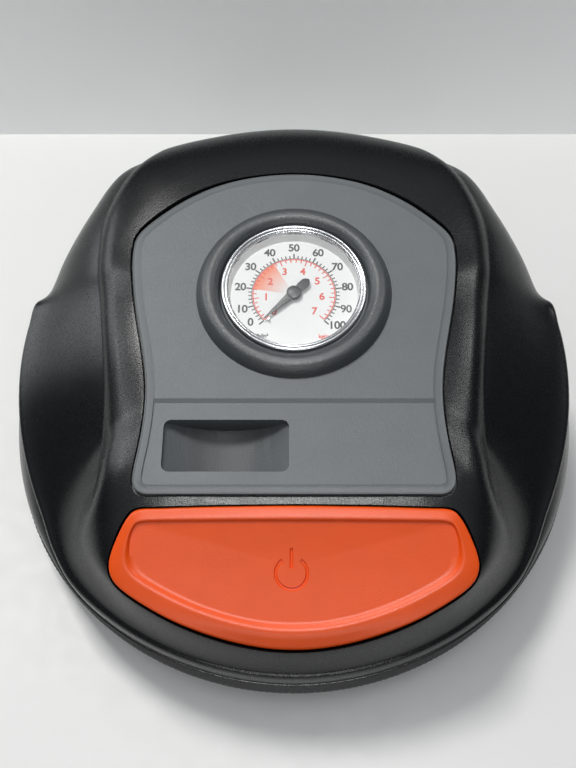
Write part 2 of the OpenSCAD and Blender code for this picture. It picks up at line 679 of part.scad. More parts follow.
module bracket_grommets() {
    color(rubber) for (p = lug_spots) translate([p[0], p[1], 0]) difference() {
        union() {
            tube(2.95, 0, 8, lug_h + 4.4);
            tube(4.6, 0, 8, lug_h - 0.05);
            tube(4.6, 0, lug_h + 3.05, lug_h + 4.4);
        }
        tube(1.7, 0, 0, 40);
    }
}
module bracket_screws() {
    color(steel) {
        for (p = lug_spots) translate([p[0], p[1], lug_h + 4.5]) pan_screw(1.25, 8.4, 3, 1.8);
        motor_line() for (y = [-12.5, 12.5]) translate([0, y, bracket_y + bracket_t])
            pan_screw(1.25, 6, 2.4, 1.6);
    }
}
module crank_bearing() {
    color(steel) along_y([crank_x, 0, shaft_z]) {
        tube(7.95, 6.2, bracket_y, bracket_y + bracket_t);
        tube(5.2, 4, bracket_y, bracket_y + bracket_t);
        for (a = [0:60:300]) rotate([0, 0, a]) translate([5.7, 0, bracket_y + bracket_t / 2])
            sphere(r = 0.45, $fn = 32);
    }
}
module crank_gear() {
    color([0.85, 0.84, 0.80]) along_y([crank_x, gear_y, shaft_z]) difference() {
        linear_extrude(gear_t) rotate(180 / gear_teeth) gear_blank(gear_teeth, gear_module);
        translate([0, 0, -1]) cylinder(r = 3.95, h = 8);
        rotate([0, 0, 180]) translate([crank_r, 0, -1]) cylinder(r = 2.5, h = 8);
        for (a = [-60, 0, 60]) rotate([0, 0, a]) translate([11, 0, -1]) cylinder(r = 3, h = 8);
    }
}
module crank_shaft() {
    color(steel) along_y([crank_x, 0, shaft_z]) union() {
        tube(3.95, 0, bracket_y + 0.1, gear_y + gear_t);
        tube(5.6, 0, gear_y - 1.6, gear_y - 0.05);
    }
}
module crank_pin() {
    color(steel) along_y([crank_x - crank_r, 0, shaft_z])
        tube(2.5, 0, gear_y + 0.5, rod_y - rod_t / 2 - 0.3);
}
module connecting_rod() {
    color(alloy) translate([0, rod_y - rod_t / 2, 0]) rotate([-90, 0, 0]) linear_extrude(rod_t)
        difference() {
            union() {
                translate([wrist_x - rod_len, -shaft_z]) circle(r = 6);
                translate([wrist_x, -shaft_z]) circle(r = 4.6);
                translate([wrist_x - rod_len, -shaft_z - 3]) square([rod_len, 6]);
            }
            translate([wrist_x - rod_len, -shaft_z]) circle(r = 2.6);
            translate([wrist_x, -shaft_z]) circle(r = 2.56);
        }
}
module wrist_pin() {
    color(steel) along_y([wrist_x, 0, shaft_z]) tube(2.5, 0, rod_y - 8.4, rod_y + 8.4);
}
piston_front = 7;
piston_back = 6;
module piston() {
    color(alloy) difference() {
        along_x([wrist_x, rod_y, shaft_z]) difference() {
            tube(bore_r - 0.3, 0, -piston_back, piston_front);
            tube(bore_r + 1, bore_r - 1.3, piston_front - 3.2, piston_front - 1.4);
        }
        translate([wrist_x - 8, rod_y - 2.7, shaft_z - 5.6]) cube([13, 5.4, 11.2]);
        along_y([wrist_x, 0, shaft_z]) tube(2.5, 0, 20, 60);
    }
}
module piston_seal() {
    color(rubber) along_x([wrist_x, rod_y, shaft_z])
        tube(bore_r - 0.06, bore_r - 1.25, piston_front - 3.15, piston_front - 1.45);
}
module cylinder_body() {
    difference() {
        union() {
            tube(12, 0, skirt_x, cyl_end);
            tube(15.5, 0, skirt_x + 4.05, skirt_x + 6);
            for (x = [21:3.6:35]) tube(15.5, 0, x, x + 1.4);
            tube(13.4, 0, cyl_end - 2.4, cyl_end);
        }
        tube(bore_r, 0, 0, 60);
    }
}
module cylinder_sleeve() {
    color(alloy) along_x([0, rod_y, shaft_z]) cylinder_body();
}
module head_gasket() {
    color([0.55, 0.3, 0.2]) along_x([0, rod_y, shaft_z]) tube(13.4, bore_r, cyl_end, head_x);
}
module cylinder_head() {
    color(alloy) difference() {
        union() {
            translate([head_x, rod_y - head_half, shaft_z - head_half])
                cube([head_len, 2 * head_half, 2 * head_half]);
            for (k = [-3:3]) translate([head_x + head_len - 0.5, rod_y + k * 4 - 0.7, shaft_z - 9])
                cube([3, 1.4, 18]);
            along_y([barb_x, barb_y - 0.5, shaft_z]) barb();
            translate([barb_x, rod_y, head_top - 0.5]) barb();
        }
        along_x([0, rod_y, shaft_z]) {
            tube(2.2, 0, 30, head_x + 4);
            tube(5.2, 0, head_x + 2.4, head_x + 10);
        }
        along_y([barb_x, rod_y, shaft_z]) cylinder(r = 1.2, h = 40);
        translate([barb_x, rod_y, shaft_z]) cylinder(r = 1.2, h = 40);
        for (y = [-1, 1], z = [-1, 1]) along_x([head_x - 1, rod_y + y * head_bolt, shaft_z + z * head_bolt])
            cylinder(r = 1.7, h = 20);
    }
}
module barb() {
    rotate_extrude() polygon([[0, 0], [3.4, 0], [3.4, 2.4], [2, 2.4], [2, 4.4], [2.3, 4.6], [1.7, 8],
        [0, 8]]);
}
module head_screws() {
    color(steel) for (y = [-1, 1], z = [-1, 1])
        translate([head_x + head_len, rod_y + y * head_bolt, shaft_z + z * head_bolt])
            rotate([0, 90, 0]) pan_screw(1.45, head_x + head_len - skirt_x - 4.1, 2.7, 2);
    color(steel) for (y = [-1, 1], z = [-1, 1])
        along_x([skirt_x + 0.1, rod_y + y * head_bolt, shaft_z + z * head_bolt]) cylinder(r = 1.15, h = 4.2);
}
valve_x = head_x + 2.5;
module outlet_valve() {
    color(rubber) along_x([0, rod_y, shaft_z]) tube(3.6, 0, valve_x, valve_x + 1.4);
}
module valve_spring() {
    color(steel) along_x([valve_x + 1.5, rod_y, shaft_z]) coil(2.6, 0.3, 5.8, 4);
}

// ---- air lines ----

barb_x = head_x + head_len / 2;
barb_y = rod_y + head_half;
function elbow_line(r) = [r * cos(elbow_at), r * sin(elbow_at), hose_z];
OUTLET_PATH = [[barb_x, barb_y + 2.2, shaft_z], [barb_x, barb_y + 6, shaft_z],
    [barb_x, barb_y + 9, shaft_z], [40, 69, 24], [35, 69.6, 19.6], [29, 68, 16.4], [25, 67, 14.6],
    elbow_line(74), elbow_line(78), elbow_line(81.6)];
module outlet_tube() {
    color(rubber) difference() {
        tube_along(path_of(OUTLET_PATH, 2), 3);
        along_y([barb_x, barb_y + 2, shaft_z]) cylinder(r = 2.35, h = 5.8);
        rotate([0, 0, elbow_at - 90]) along_y([0, 77.8, hose_z]) cylinder(r = 2.05, h = 6);
    }
}
// Point on the gauge socket's line, by its distance from the gauge's axis
function socket_line(r) = fascia_at + [0, -r * cos(fascia_tilt) + 16 * sin(fascia_tilt),
    -r * sin(fascia_tilt) - 16 * cos(fascia_tilt)];
head_top = shaft_z + head_half;
GAUGE_PATH = [socket_line(26.4), socket_line(31), socket_line(36), [3, -29, 50], [17, -29, 49],
    [29, -17, 49], [34, 2, 50], [38, 20, 55], [42, 33, 60], [barb_x, rod_y, 59],
    [barb_x, rod_y, 54], [barb_x, rod_y, 48], [barb_x, rod_y, head_top + 2.2]];
module gauge_air_tube() {
    color(rubber) difference() {
        tube_along(path_of(GAUGE_PATH, 2), 3);
        on_fascia() along_y([0, -34.2, -16]) cylinder(r = 2.05, h = 9.5);
        translate([barb_x, rod_y, head_top + 2]) cylinder(r = 2.35, h = 5.8);
    }
}
HOSE_PATH = concat(
    [for (a = [0, 1, each [8:8:296], hose_sweep - 1, hose_sweep]) [hose_turn_r * cos(hose_from - a),
        hose_turn_r * sin(hose_from - a), hose_z]],
    [for (a = [4, 8, 12, end_turn - 1, end_turn]) let (r = hose_turn_r / 2)
        [r * (cos(hose_end) + cos(hose_end - a)), r * (sin(hose_end) + sin(hose_end - a)), hose_z]]);
module air_hose() {
    color(rubber) tube_along(HOSE_PATH, hose_d / 2, 12);
}
module hose_ferrules() {
    color(steel) {
        rotate([0, 0, hose_from]) translate([hose_turn_r, 0, hose_z]) rotate([-90, 0, 0])
            tube(4.3, 2.05, 0.05, 6);
        connector_line() tube(4.6, 2.05, 0.05, 7);
    }
}
module hose_outlet_elbow() {
    color(brass) difference() {
        union() {
            rotate([0, 0, elbow_at - 90]) along_y([0, 78, hose_z]) {
                cylinder(r = 2, h = 6);
                translate([0, 0, 6]) cylinder(r = 3, h = hose_turn_r - 84);
            }
            rotate([0, 0, elbow_at - 90]) translate([0, hose_turn_r, hose_z]) sphere(r = 4.2);
            rotate([0, 0, hose_from]) translate([hose_turn_r, 0, hose_z]) rotate([-90, 0, 0])
                translate([0, 0, 0.1]) cylinder(r = 2, h = 12);
        }
        rotate([0, 0, elbow_at - 90]) along_y([0, 77, hose_z]) cylinder(r = 1.1, h = 12);
    }
}
module connector_line() {
    in_dock() translate([dock_x, 0, 0]) rotate([0, 90, 0]) children();
}
nut_z = 16;
module connector_body() {
    color(brass) connector_line() difference() {
        union() {
            tube(2, 0, 0.1, 7.2);
            tube(4.4, 0, 7.1, nut_z - 1);
            tube(5, 0, 9, 12);
            tube(3.2, 0, nut_z - 1.2, nut_z + 4);
            tube(4.3, 0, nut_z + 2.6, nut_z + 4);
        }
        tube(1, 0, 0, nut_z + 5);
    }
}
module connector_nut() {
    color(steel) connector_line() translate([0, 0, nut_z]) difference() {
        union() {
            tube(6, 0, -0.6, 15);
            for (a = [0:20:340]) rotate([0, 0, a]) translate([6, 0, 1]) cylinder(r = 0.45, h = 12);
        }
        tube(3.27, 0, -2, 3);
        tube(4.36, 0, 2.1, 6);
        tube(3.85, 0, 5, 20);
    }
}
module connector_seal() {
    color(rubber) connector_line() tube(3.6, 1.2, nut_z + 4.05, nut_z + 5.6);
}
module cable_gland() {
    color(rubber) rotate([0, 0, gland_at - 90]) along_y([0, 0, gland_z]) difference() {
        union() {
            tube(4.5, 0, 86, 97.5);
            tube(6.2, 0, 93.9, 95.6);
            tube(6.2, 0, 86, 89.6);
        }
        tube(2, 0, 85, 96.4);
    }
}

// ---- power button and switch ----

button_t = 3;
plunger_at = [8, -26];
spring_at = [-8, -26];
module power_button() {
    color(orange) on_button() difference() {
        union() {
            translate([0, 0, -button_t]) linear_extrude(button_t) polygon(outline(BUTTON_EDGE));
            translate([-hinge_x + 0.6, hinge_y - 1.5, hinge_z - 1.5])
                cube([2 * hinge_x - 1.2, 3, 2 - hinge_z - button_t]);
            along_x([-hinge_x - hinge_w + 0.4, hinge_y, hinge_z])
                cylinder(r = 1.5, h = 2 * (hinge_x + hinge_w - 0.4));
            translate([plunger_at[0] - 3, plunger_at[1] - 3, -5]) cube([6, 6, 3]);
            translate([spring_at[0], spring_at[1], -6]) cylinder(r = 2.2, h = 4);
        }
        translate([0, 0, -1.2]) linear_extrude(3) polygon(outline(BUTTON_FIELD));
    }
}
module button_spring() {
    color(steel) on_button() translate([spring_at[0], spring_at[1], switch_foot + 2.6])
        coil(3.2, 0.45, 18.6, 6);
}
switch_top = -9.4;
module switch_body() {
    color(black) on_button() difference() {
        union() {
            translate([plunger_at[0] - 7, plunger_at[1] - 6, -22]) cube([14, 12, 22 + switch_top]);
            translate([-14, plunger_at[1] - 7, switch_foot]) cube([32, 14, 2.5]);
        }
        translate([plunger_at[0] - 2.6, plunger_at[1] - 2.6, -19]) cube([5.2, 5.2, 20]);
    }
}
module switch_plunger() {
    color([0.85, 0.85, 0.82]) on_button() translate([plunger_at[0] - 2.5, plunger_at[1] - 2.5, -16])
        cube([5, 5, 10.7]);
}
module switch_terminals() {
    color(copper) on_button() for (x = [-3.4, 3.4]) translate([plunger_at[0] + x - 0.4, plunger_at[1] - 2.4, -30])
        cube([0.8, 4.8, 5.6]);
}

upper_housing();
lower_housing();
fascia_panel();
gauge_bezel_ring();
rubber_feet();
housing_screws();
fascia_screws();
cable_gland();
air_hose();
hose_ferrules();
hose_outlet_elbow();
connector_body();
connector_nut();
connector_seal();
gauge_case();
gauge_chrome_ring();
gauge_lens();
gauge_dial();
gauge_stop_pin();
gauge_movement_frame();
bourdon_tube();
gauge_socket();
gauge_air_tube();
gauge_pointer();
pointer_arbor();
sector_gear();
tip_link();
motor_can();
motor_end_cap();
motor_magnets();
motor_bearings();
motor_brushes();
motor_shaft();
motor_armature();
commutator();
motor_pinion();
cooling_fan();
gearbox_bracket();
bracket_grommets();
bracket_screws();
crank_bearing();
crank_gear();
crank_shaft();
crank_pin();
connecting_rod();
wrist_pin();
piston();
piston_seal();
cylinder_sleeve();  // cylinder
cylinder_head();
head_gasket();
head_screws();
outlet_valve();
valve_spring();
outlet_tube();
power_button();
button_spring();
switch_body();
switch_plunger();
switch_terminals();
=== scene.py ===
"""Looks of the tyre inflator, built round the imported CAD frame. Lengths in the tables are in millimetres."""

import json
import math

import bmesh
import bpy
import numpy as np
from mathutils import Matrix, Vector


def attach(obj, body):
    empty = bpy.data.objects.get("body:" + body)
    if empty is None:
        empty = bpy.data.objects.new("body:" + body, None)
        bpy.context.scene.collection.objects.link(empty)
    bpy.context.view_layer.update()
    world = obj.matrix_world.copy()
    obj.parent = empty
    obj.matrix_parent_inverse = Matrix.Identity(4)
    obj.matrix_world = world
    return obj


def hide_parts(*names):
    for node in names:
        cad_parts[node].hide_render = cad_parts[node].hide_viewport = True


MM = 0.001
ROOT = "inflator"
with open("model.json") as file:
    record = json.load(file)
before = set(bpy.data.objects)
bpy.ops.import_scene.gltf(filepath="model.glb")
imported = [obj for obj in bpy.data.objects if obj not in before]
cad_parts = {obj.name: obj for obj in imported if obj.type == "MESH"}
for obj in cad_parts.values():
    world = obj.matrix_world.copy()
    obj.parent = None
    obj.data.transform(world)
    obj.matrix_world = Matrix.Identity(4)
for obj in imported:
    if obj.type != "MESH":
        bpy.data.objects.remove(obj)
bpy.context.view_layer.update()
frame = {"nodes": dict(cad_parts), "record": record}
nodes = frame["nodes"]

# ---- camera ----

cam_data = bpy.data.cameras.new("camera")
cam = bpy.data.objects.new("camera", cam_data)
bpy.context.scene.collection.objects.link(cam)
cam_data.lens = 39.84
cam_data.sensor_width = 36
cam_data.shift_x = -0.0078
cam.location = (0, -0.1522, 0.2788)
cam.rotation_mode = "QUATERNION"
look = Vector((0, 0.002, 0.032)) - cam.location
cam.rotation_quaternion = look.to_track_quat("-Z", "Y")
bpy.context.scene.camera = cam
bpy.context.scene.view_settings.view_transform = "Standard"

# ---- numbers shared with the CAD ----

WALL = 2.4
BAND_RAISE = 2.0
BAND_EDGE = 6.0
RIM_R = 95.0
FASCIA_TILT = 7
BUTTON_TILT = 30
PANEL_GAP = 0.5
FASCIA_AT = (0, 11, 72)
BUTTON_AT = (0, -57, 62.5)
FLOOR_Z, FLOOR_TOP, GROOVE_LOW, GROOVE_HIGH = 2.0, 5.0, 9.2, 19.4
FLANGE_TOP, HOSE_Z, TUB_R = 22.0, 14.2, 87.3
HOSE_R, HOSE_D, HOSE_FROM, HOSE_SWEEP, END_TURN = 92.0, 8.5, 64, 304, 16
ELBOW_AT, GLAND_AT, GLAND_Z = 72, 130, 32
POSTS = [(55, -37), (-55, -37), (58, 48), (-58, 48)]
LUGS = [(-54, 20.5), (26, 20.5), (19, 58.5)]
TRAY = [(-37.4, -58.5), (-1.4, -42.8)]
TRAY_DEPTH, SCOOP_R = 9.4, 26.0

SECTIONS = [
    (-90, [(95.5, 24), (95.7, 28.6), (95.2, 30.5), (94.3, 30.8), (93.7, 32.2), (92.5, 36.4),
           (91.3, 41.6), (90, 44.3), (82, 48.6), (70, 55.4), (58, 62.4), (42, 64.2)]),
    (-75, [(95.4, 24), (95.6, 28.7), (95.1, 30.6), (94.2, 30.9), (93.6, 32.3), (92.4, 37.4),
           (91.2, 43.6), (89.9, 46.5), (81.4, 50.8), (70, 57), (59, 62.6), (42, 64.3)]),
    (-65, [(95.4, 24), (95.6, 28.8), (95.1, 30.7), (94.1, 31), (93.3, 32.6), (92.1, 39),
           (90.9, 46.4), (89.6, 49.5), (81.4, 53.6), (71.4, 58.6), (60.6, 63), (42, 64.4)]),
    (-56, [(95.5, 24.2), (95.7, 29), (95.1, 31), (94, 31.4), (92.9, 33.2), (91.5, 41),
           (90.3, 49.6), (88.8, 52.9), (81.4, 56.8), (72, 60.8), (61, 63.8), (42, 64.7)]),
    (-45, [(95.3, 24.6), (95.6, 29.4), (94.9, 31.4), (93.6, 31.9), (91.6, 34.2), (89, 40),
           (86.4, 46.6), (82.4, 52.8), (76.8, 58), (69.6, 61.8), (59, 64), (42, 65)]),
    (-38, [(93.6, 26.6), (93.9, 30.8), (93.2, 32.6), (91.8, 33), (89.2, 35.2), (85, 40.4),
           (80.6, 46), (76, 51.6), (71.4, 57), (65.6, 61.6), (56, 64.4), (42, 65.3)]),
    (-30, [(91, 29.6), (91.5, 33.4), (90.8, 35.2), (89.4, 35.6), (85.8, 38), (80.4, 42.8),
           (75, 48), (69.6, 53.2), (64.6, 58), (58.8, 62.4), (51.8, 65), (42, 66)]),
    (-10, [(89.2, 39), (89.7, 42.8), (89, 44.7), (87.6, 45.2), (84.4, 46.7), (79, 50.2),
           (73, 54.5), (66.8, 58.8), (60.6, 63.4), (54.6, 66.6), (48, 67.9), (42, 68.1)]),
    (9, [(89.2, 44.4), (89.7, 48.2), (89, 50.1), (87.7, 50.5), (85, 51.7), (80, 54.7),
           (74.2, 58.6), (68.2, 62.4), (62.6, 65.9), (57, 68.6), (50, 69.9), (42, 70)]),
    (14.5, [(89.8, 45.6), (90.1, 49.4), (89.4, 51.3), (88.1, 51.7), (85.8, 52.7), (81.4, 55.3),
           (76, 59), (70.2, 63), (64.8, 66.6), (59.2, 69.3), (51.6, 70.6), (42, 70.5)]),
    (19.5, [(90.6, 33), (90.6, 38.4), (90.3, 42.4), (89.4, 46.4), (87.4, 50.2), (84, 54.2),
           (79.8, 58.4), (74.6, 62.8), (69, 67), (63, 70), (53.6, 71.6), (42, 71)]),
    (27, [(91, 29), (91, 35), (91, 40), (90.9, 45.4), (89.9, 50.3), (87.3, 55.2),
           (83.4, 59.9), (78.2, 64.4), (72.3, 68.4), (65.6, 71.2), (55, 72.3), (42, 71.4)]),
    (38, [(92.4, 24), (92.5, 31), (92.6, 37), (92.8, 43), (92.6, 49.4), (91, 56.4),
           (87.4, 62.8), (81.8, 68.2), (74.6, 72), (66.4, 73.8), (56, 73.8), (42, 72.2)]),
    (48, [(93.2, 24), (93.3, 31), (93.4, 37.8), (93.6, 44.4), (93.8, 51), (93.6, 58.5),
           (90.9, 65.6), (85.4, 71), (77.2, 74.3), (67.8, 75.3), (56, 74.7), (42, 72.9)]),
    (57, [(93.4, 24), (93.4, 31), (93.4, 38), (93.3, 44.6), (93.1, 51.3), (92.3, 59),
           (89.6, 65.7), (84.5, 70.9), (76.9, 74.3), (67.6, 75.6), (56, 75.2), (42, 73.3)]),
    (72, [(93.4, 24), (93.4, 31), (93.4, 38), (93.3, 44.5), (92.9, 51), (91.6, 58.1),
           (88.4, 64.9), (83, 70.2), (75.6, 73.7), (66.6, 75.4), (56, 75.4), (42, 73.7)]),
    (90, [(93.5, 24), (93.5, 31), (93.5, 38), (93.4, 44.5), (93, 51), (91.6, 58),
           (88, 64.8), (82.4, 70.2), (75, 73.8), (66, 75.4), (56, 75.5), (42, 73.8)]),
]
BAND = [(-60, 60), (-45, 57), (-20, 56.6), (6, 59.8), (24, 62.4), (46, 61.4), (74, 49), (96, 40)]
FASCIA_EDGE = [(0, 45.4), (13, 44.1), (25, 40.7), (36, 34.5), (45, 26.8), (50.4, 20.6),
               (51, 14), (50.6, 7), (48.8, -5), (45.6, -19), (43.6, -30), (43.2, -40), (44, -50),
               (45.2, -58), (45.2, -62.4), (42.6, -65.1), (38, -65.1), (18, -65.1), (0, -65.1)]
BUTTON_EDGE = [(0, 0.3), (20, 0.1), (38, -0.4), (44, -0.7), (46.4, -3.2), (48.6, -7.4),
               (51, -13.4), (51.4, -17.6), (49.4, -21.8), (42, -27), (32, -32.4), (20, -36.8),
               (9, -39.2), (0, -39.8)]
BUTTON_FIELD = [(0, -4), (22, -4.1), (38, -4.2), (43.6, -4.3), (45.2, -7.4), (45.6, -12),
                (45, -16), (42, -19.2), (34, -23.8), (22, -28.8), (10, -31.6), (0, -32.2)]
# The field's control points again, one for each of the edge's
BUTTON_INNER = [(0, -4), (20, -4.1), (36, -4.2), (43, -4.3), (44.6, -6.4), (45.4, -9.6),
                (45.5, -13), (44.8, -16.2), (42.6, -18.8), (36, -22.6), (27.6, -26.6), (18, -29.8),
                (9, -31.7), (0, -32.2)]


# ---- curves ----

def ease(t):
    c = np.clip(t, 0, 1)
    return c * c * (3 - 2 * c)


def table_at(keys, values, key):
    """Value of a table at key, on the same smooth curve through its rows as in part.scad."""
    k = int(np.clip(np.searchsorted(keys, key, side="right") - 1, 0, len(keys) - 2))
    span = keys[k + 1] - keys[k]
    t = min(max((key - keys[k]) / span, 0), 1)

    def slope(i):
        if i in (0, len(keys) - 1):
            return 0 * values[0]
        return (values[i + 1] - values[i - 1]) / (keys[i + 1] - keys[i - 1])

    a, b, ma, mb = values[k], values[k + 1], slope(k) * span, slope(k + 1) * span
    return (a * (2 * t**3 - 3 * t * t + 1) + ma * (t**3 - 2 * t * t + t)
            + b * (3 * t * t - 2 * t**3) + mb * (t**3 - t * t))


def spline(c, t):
    """Points at the places t on the cubic spline that control points c draw."""
    t = np.atleast_1d(np.asarray(t, float))
    i = np.floor(t).astype(int)
    f = (t - i)[:, None]
    p = [c[np.clip(i + k, 0, len(c) - 1)] for k in (-1, 0, 1, 2)]
    return (p[0] * (1 - f)**3 + p[1] * (3 * f**3 - 6 * f * f + 4)
            + p[2] * (1 + 3 * f + 3 * f * f - 3 * f**3) + p[3] * f**3) / 6


SECTION_KEYS = np.array([s[0] for s in SECTIONS], float)
SECTION_ROWS = np.array([s[1] for s in SECTIONS], float)
BAND_KEYS = np.array([b[0] for b in BAND], float)
BAND_WIDTHS = np.array([b[1] for b in BAND], float)
BAND_STEPS = np.arange(-60, 96.01, 0.5)
BAND_FINE = np.array([table_at(BAND_KEYS, BAND_WIDTHS, y) for y in BAND_STEPS])


def section(angle):
    return table_at(SECTION_KEYS, SECTION_ROWS, math.degrees(math.asin(math.sin(math.radians(angle)))))


def raise_at(x, y):
    half = np.interp(np.clip(y, -60, 96), BAND_STEPS, BAND_FINE)
    t = np.clip((half - np.abs(x)) / BAND_EDGE, 0, 1)
    return BAND_RAISE * t * (2 - t) * ease((y + 60) / 18)


def skin(angle, t, depth):
    """Points of the housing's surface at a bearing, moved in by depth."""
    c = section(angle)
    t = np.asarray(t, float)
    p = spline(c, t)
    d = spline(c, np.minimum(t + 0.02, len(c))) - spline(c, np.maximum(t - 0.02, -1))
    n = np.stack([d[:, 1], -d[:, 0]], 1) / np.linalg.norm(d, axis=1)[:, None]
    ca, sa = math.cos(math.radians(angle)), math.sin(math.radians(angle))
    q = p + n * (raise_at(p[:, 0] * ca, p[:, 0] * sa) - depth)[:, None]
    return np.stack([q[:, 0] * ca, q[:, 0] * sa, q[:, 1]], 1)


def outline(half, cuts=10):
    """Closed smooth outline from the control polygon of its right half, as in part.scad."""
    c = np.array(list(half) + [(-x, y) for x, y in half[-2:0:-1]], float)
    n = len(c)
    out = []
    for k in range(n):
        a, b = (c[k - 1] + c[k]) / 2, (c[k] + c[(k + 1) % n]) / 2
        for j in range(cuts):
            t = j / cuts
            out.append(a * (1 - t)**2 + c[k] * 2 * t * (1 - t) + b * t * t)
    return np.array(out)


def inset(loop, by):
    """A closed clockwise outline moved inwards."""
    ahead, behind = np.roll(loop, -1, 0), np.roll(loop, 1, 0)
    d = ahead - behind
    n = np.stack([d[:, 1], -d[:, 0]], 1) / np.linalg.norm(d, axis=1)[:, None]
    return loop + n * by


def lerp(a, b, t):
    return np.asarray(a, float) * (1 - t) + np.asarray(b, float) * t


# ---- places ----

def tilted(at, degrees):
    return Matrix.Translation(Vector(at) * MM) @ Matrix.Rotation(math.radians(degrees), 4, "X")


ON_FASCIA = tilted(FASCIA_AT, FASCIA_TILT)
ON_BUTTON = tilted(BUTTON_AT, BUTTON_TILT)
HERE = Matrix.Identity(4)


# ---- mesh building ----

def make(name, points, faces, place=HERE):
    """A mesh object from points in millimetres, moved to its place."""
    mesh = bpy.data.meshes.new(name)
    mesh.from_pydata([tuple(p) for p in np.asarray(points, float) * MM], [], faces)
    mesh.transform(place)
    mesh.update()
    obj = bpy.data.objects.new(name, mesh)
    bpy.context.scene.collection.objects.link(obj)
    return obj


def loft(name, loops, place=HERE, ring=False, caps=True):
    """A skin over loops of equal length. ring joins the last loop to the first."""
    n, m = len(loops), len(loops[0])
    points = np.concatenate(loops)
    faces = []
    for i in range(n if ring else n - 1):
        a, b = i * m, ((i + 1) % n) * m
        for j in range(m):
            k = (j + 1) % m
            faces.append((a + j, b + j, b + k, a + k))
    if caps and not ring:
        faces.append(tuple(range(m)))
        faces.append(tuple(range((n - 1) * m, n * m))[::-1])
    obj = make(name, points, faces, place)
    outward(obj)
    return obj


def outward(obj):
    bm = bmesh.new()
    bm.from_mesh(obj.data)
    bmesh.ops.recalc_face_normals(bm, faces=bm.faces)
    bm.to_mesh(obj.data)
    bm.free()


def lathe(name, profile, place=HERE, steps=160):
    """A solid of revolution round local Z from a closed (r, z) profile."""
    profile = np.asarray(profile, float)
    loops = []
    for i in range(steps):
        a = 2 * math.pi * i / steps
        loops.append(np.stack([profile[:, 0] * math.cos(a), profile[:, 0] * math.sin(a), profile[:, 1]], 1))
    return loft(name, loops, place, ring=True)


def prism(name, loop, low, high, place=HERE):
    at = [np.column_stack([loop, np.full(len(loop), z)]) for z in (low, high)]
    return loft(name, at, place)


def cylinder(name, r, low, high, place=HERE, sides=64):
    a = np.linspace(0, 2 * math.pi, sides, endpoint=False)
    return prism(name, np.stack([r * np.cos(a), r * np.sin(a)], 1), low, high, place)


def block(name, low, high, place=HERE):
    x0, y0, x1, y1 = low[0], low[1], high[0], high[1]
    return prism(name, np.array([(x0, y0), (x1, y0), (x1, y1), (x0, y1)], float), low[2], high[2], place)


def settle(obj):
    """Applies the object's modifiers."""
    deps = bpy.context.evaluated_depsgraph_get()
    mesh = bpy.data.meshes.new_from_object(obj.evaluated_get(deps))
    obj.modifiers.clear()
    obj.data = mesh


def boolean(obj, cutters, operation="DIFFERENCE", solver="MANIFOLD"):
    for c in cutters:
        mod = obj.modifiers.new("cut", "BOOLEAN")
        mod.operation = operation
        mod.solver = solver
        mod.object = c
    settle(obj)
    for c in cutters:
        bpy.data.objects.remove(c, do_unlink=True)


def bevel(obj, width, segments=3, angle=35):
    mod = obj.modifiers.new("edges", "BEVEL")
    mod.width = width * MM
    mod.segments = segments
    mod.limit_method = "ANGLE"
    mod.angle_limit = math.radians(angle)
    settle(obj)


def smooth(obj, angle=35):
    obj.data.shade_smooth()
    obj.data.set_sharp_from_angle(angle=math.radians(angle))


def finish_piece(obj, material, body=ROOT, stands_for=(), angle=35):
    smooth(obj, angle)
    obj.data.materials.clear()
    obj.data.materials.append(material)
    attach(obj, body)
    if stands_for:
        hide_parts(*stands_for)
    return obj


# ---- materials ----

def material(name, color, rough=0.5, metal=0.0, grain=0.4, bump=0.15, depth=0.05, vary=0.06,
             cloud=9.0, spread=0.06, alpha=1.0, coat=0.0, specular=0.5):
    """Procedural material: moulded or brushed grain of a size in mm, slow colour and gloss changes."""
    mat = bpy.data.materials.new(name)
    mat.use_nodes = True
    tree = mat.node_tree
    bsdf = tree.nodes["Principled BSDF"]
    new, link = tree.nodes.new, tree.links.new
    coord = new("ShaderNodeTexCoord")
    fine = new("ShaderNodeTexNoise")
    fine.inputs["Scale"].default_value = 1000 / grain
    fine.inputs["Detail"].default_value = 3
    slow = new("ShaderNodeTexNoise")
    slow.inputs["Scale"].default_value = 1000 / cloud
    slow.inputs["Detail"].default_value = 4
    link(coord.outputs["Object"], fine.inputs["Vector"])
    link(coord.outputs["Object"], slow.inputs["Vector"])
    shade = new("ShaderNodeMapRange")
    shade.inputs["From Min"].default_value = 0.3
    shade.inputs["From Max"].default_value = 0.7
    shade.inputs["To Min"].default_value = 1 - vary
    shade.inputs["To Max"].default_value = 1 + vary
    link(slow.outputs["Fac"], shade.inputs["Value"])
    tint = new("ShaderNodeMix")
    tint.data_type = "RGBA"
    tint.blend_type = "MULTIPLY"
    tint.inputs["Factor"].default_value = 1
    tint.inputs[6].default_value = (*color, 1)
    link(shade.outputs["Result"], tint.inputs[7])
    link(tint.outputs[2], bsdf.inputs["Base Color"])
    gloss = new("ShaderNodeMapRange")
    gloss.inputs["From Min"].default_value = 0.3
    gloss.inputs["From Max"].default_value = 0.7
    gloss.inputs["To Min"].default_value = max(rough - spread, 0.02)
    gloss.inputs["To Max"].default_value = min(rough + spread, 1)
    link(fine.outputs["Fac"], gloss.inputs["Value"])
    link(gloss.outputs["Result"], bsdf.inputs["Roughness"])
    relief = new("ShaderNodeBump")
    relief.inputs["Strength"].default_value = bump
    relief.inputs["Distance"].default_value = depth * MM
    link(fine.outputs["Fac"], relief.inputs["Height"])
    link(relief.outputs["Normal"], bsdf.inputs["Normal"])
    bsdf.inputs["Metallic"].default_value = metal
    bsdf.inputs["Alpha"].default_value = alpha
    bsdf.inputs["Coat Weight"].default_value = coat
    bsdf.inputs["Specular IOR Level"].default_value = specular
    return mat


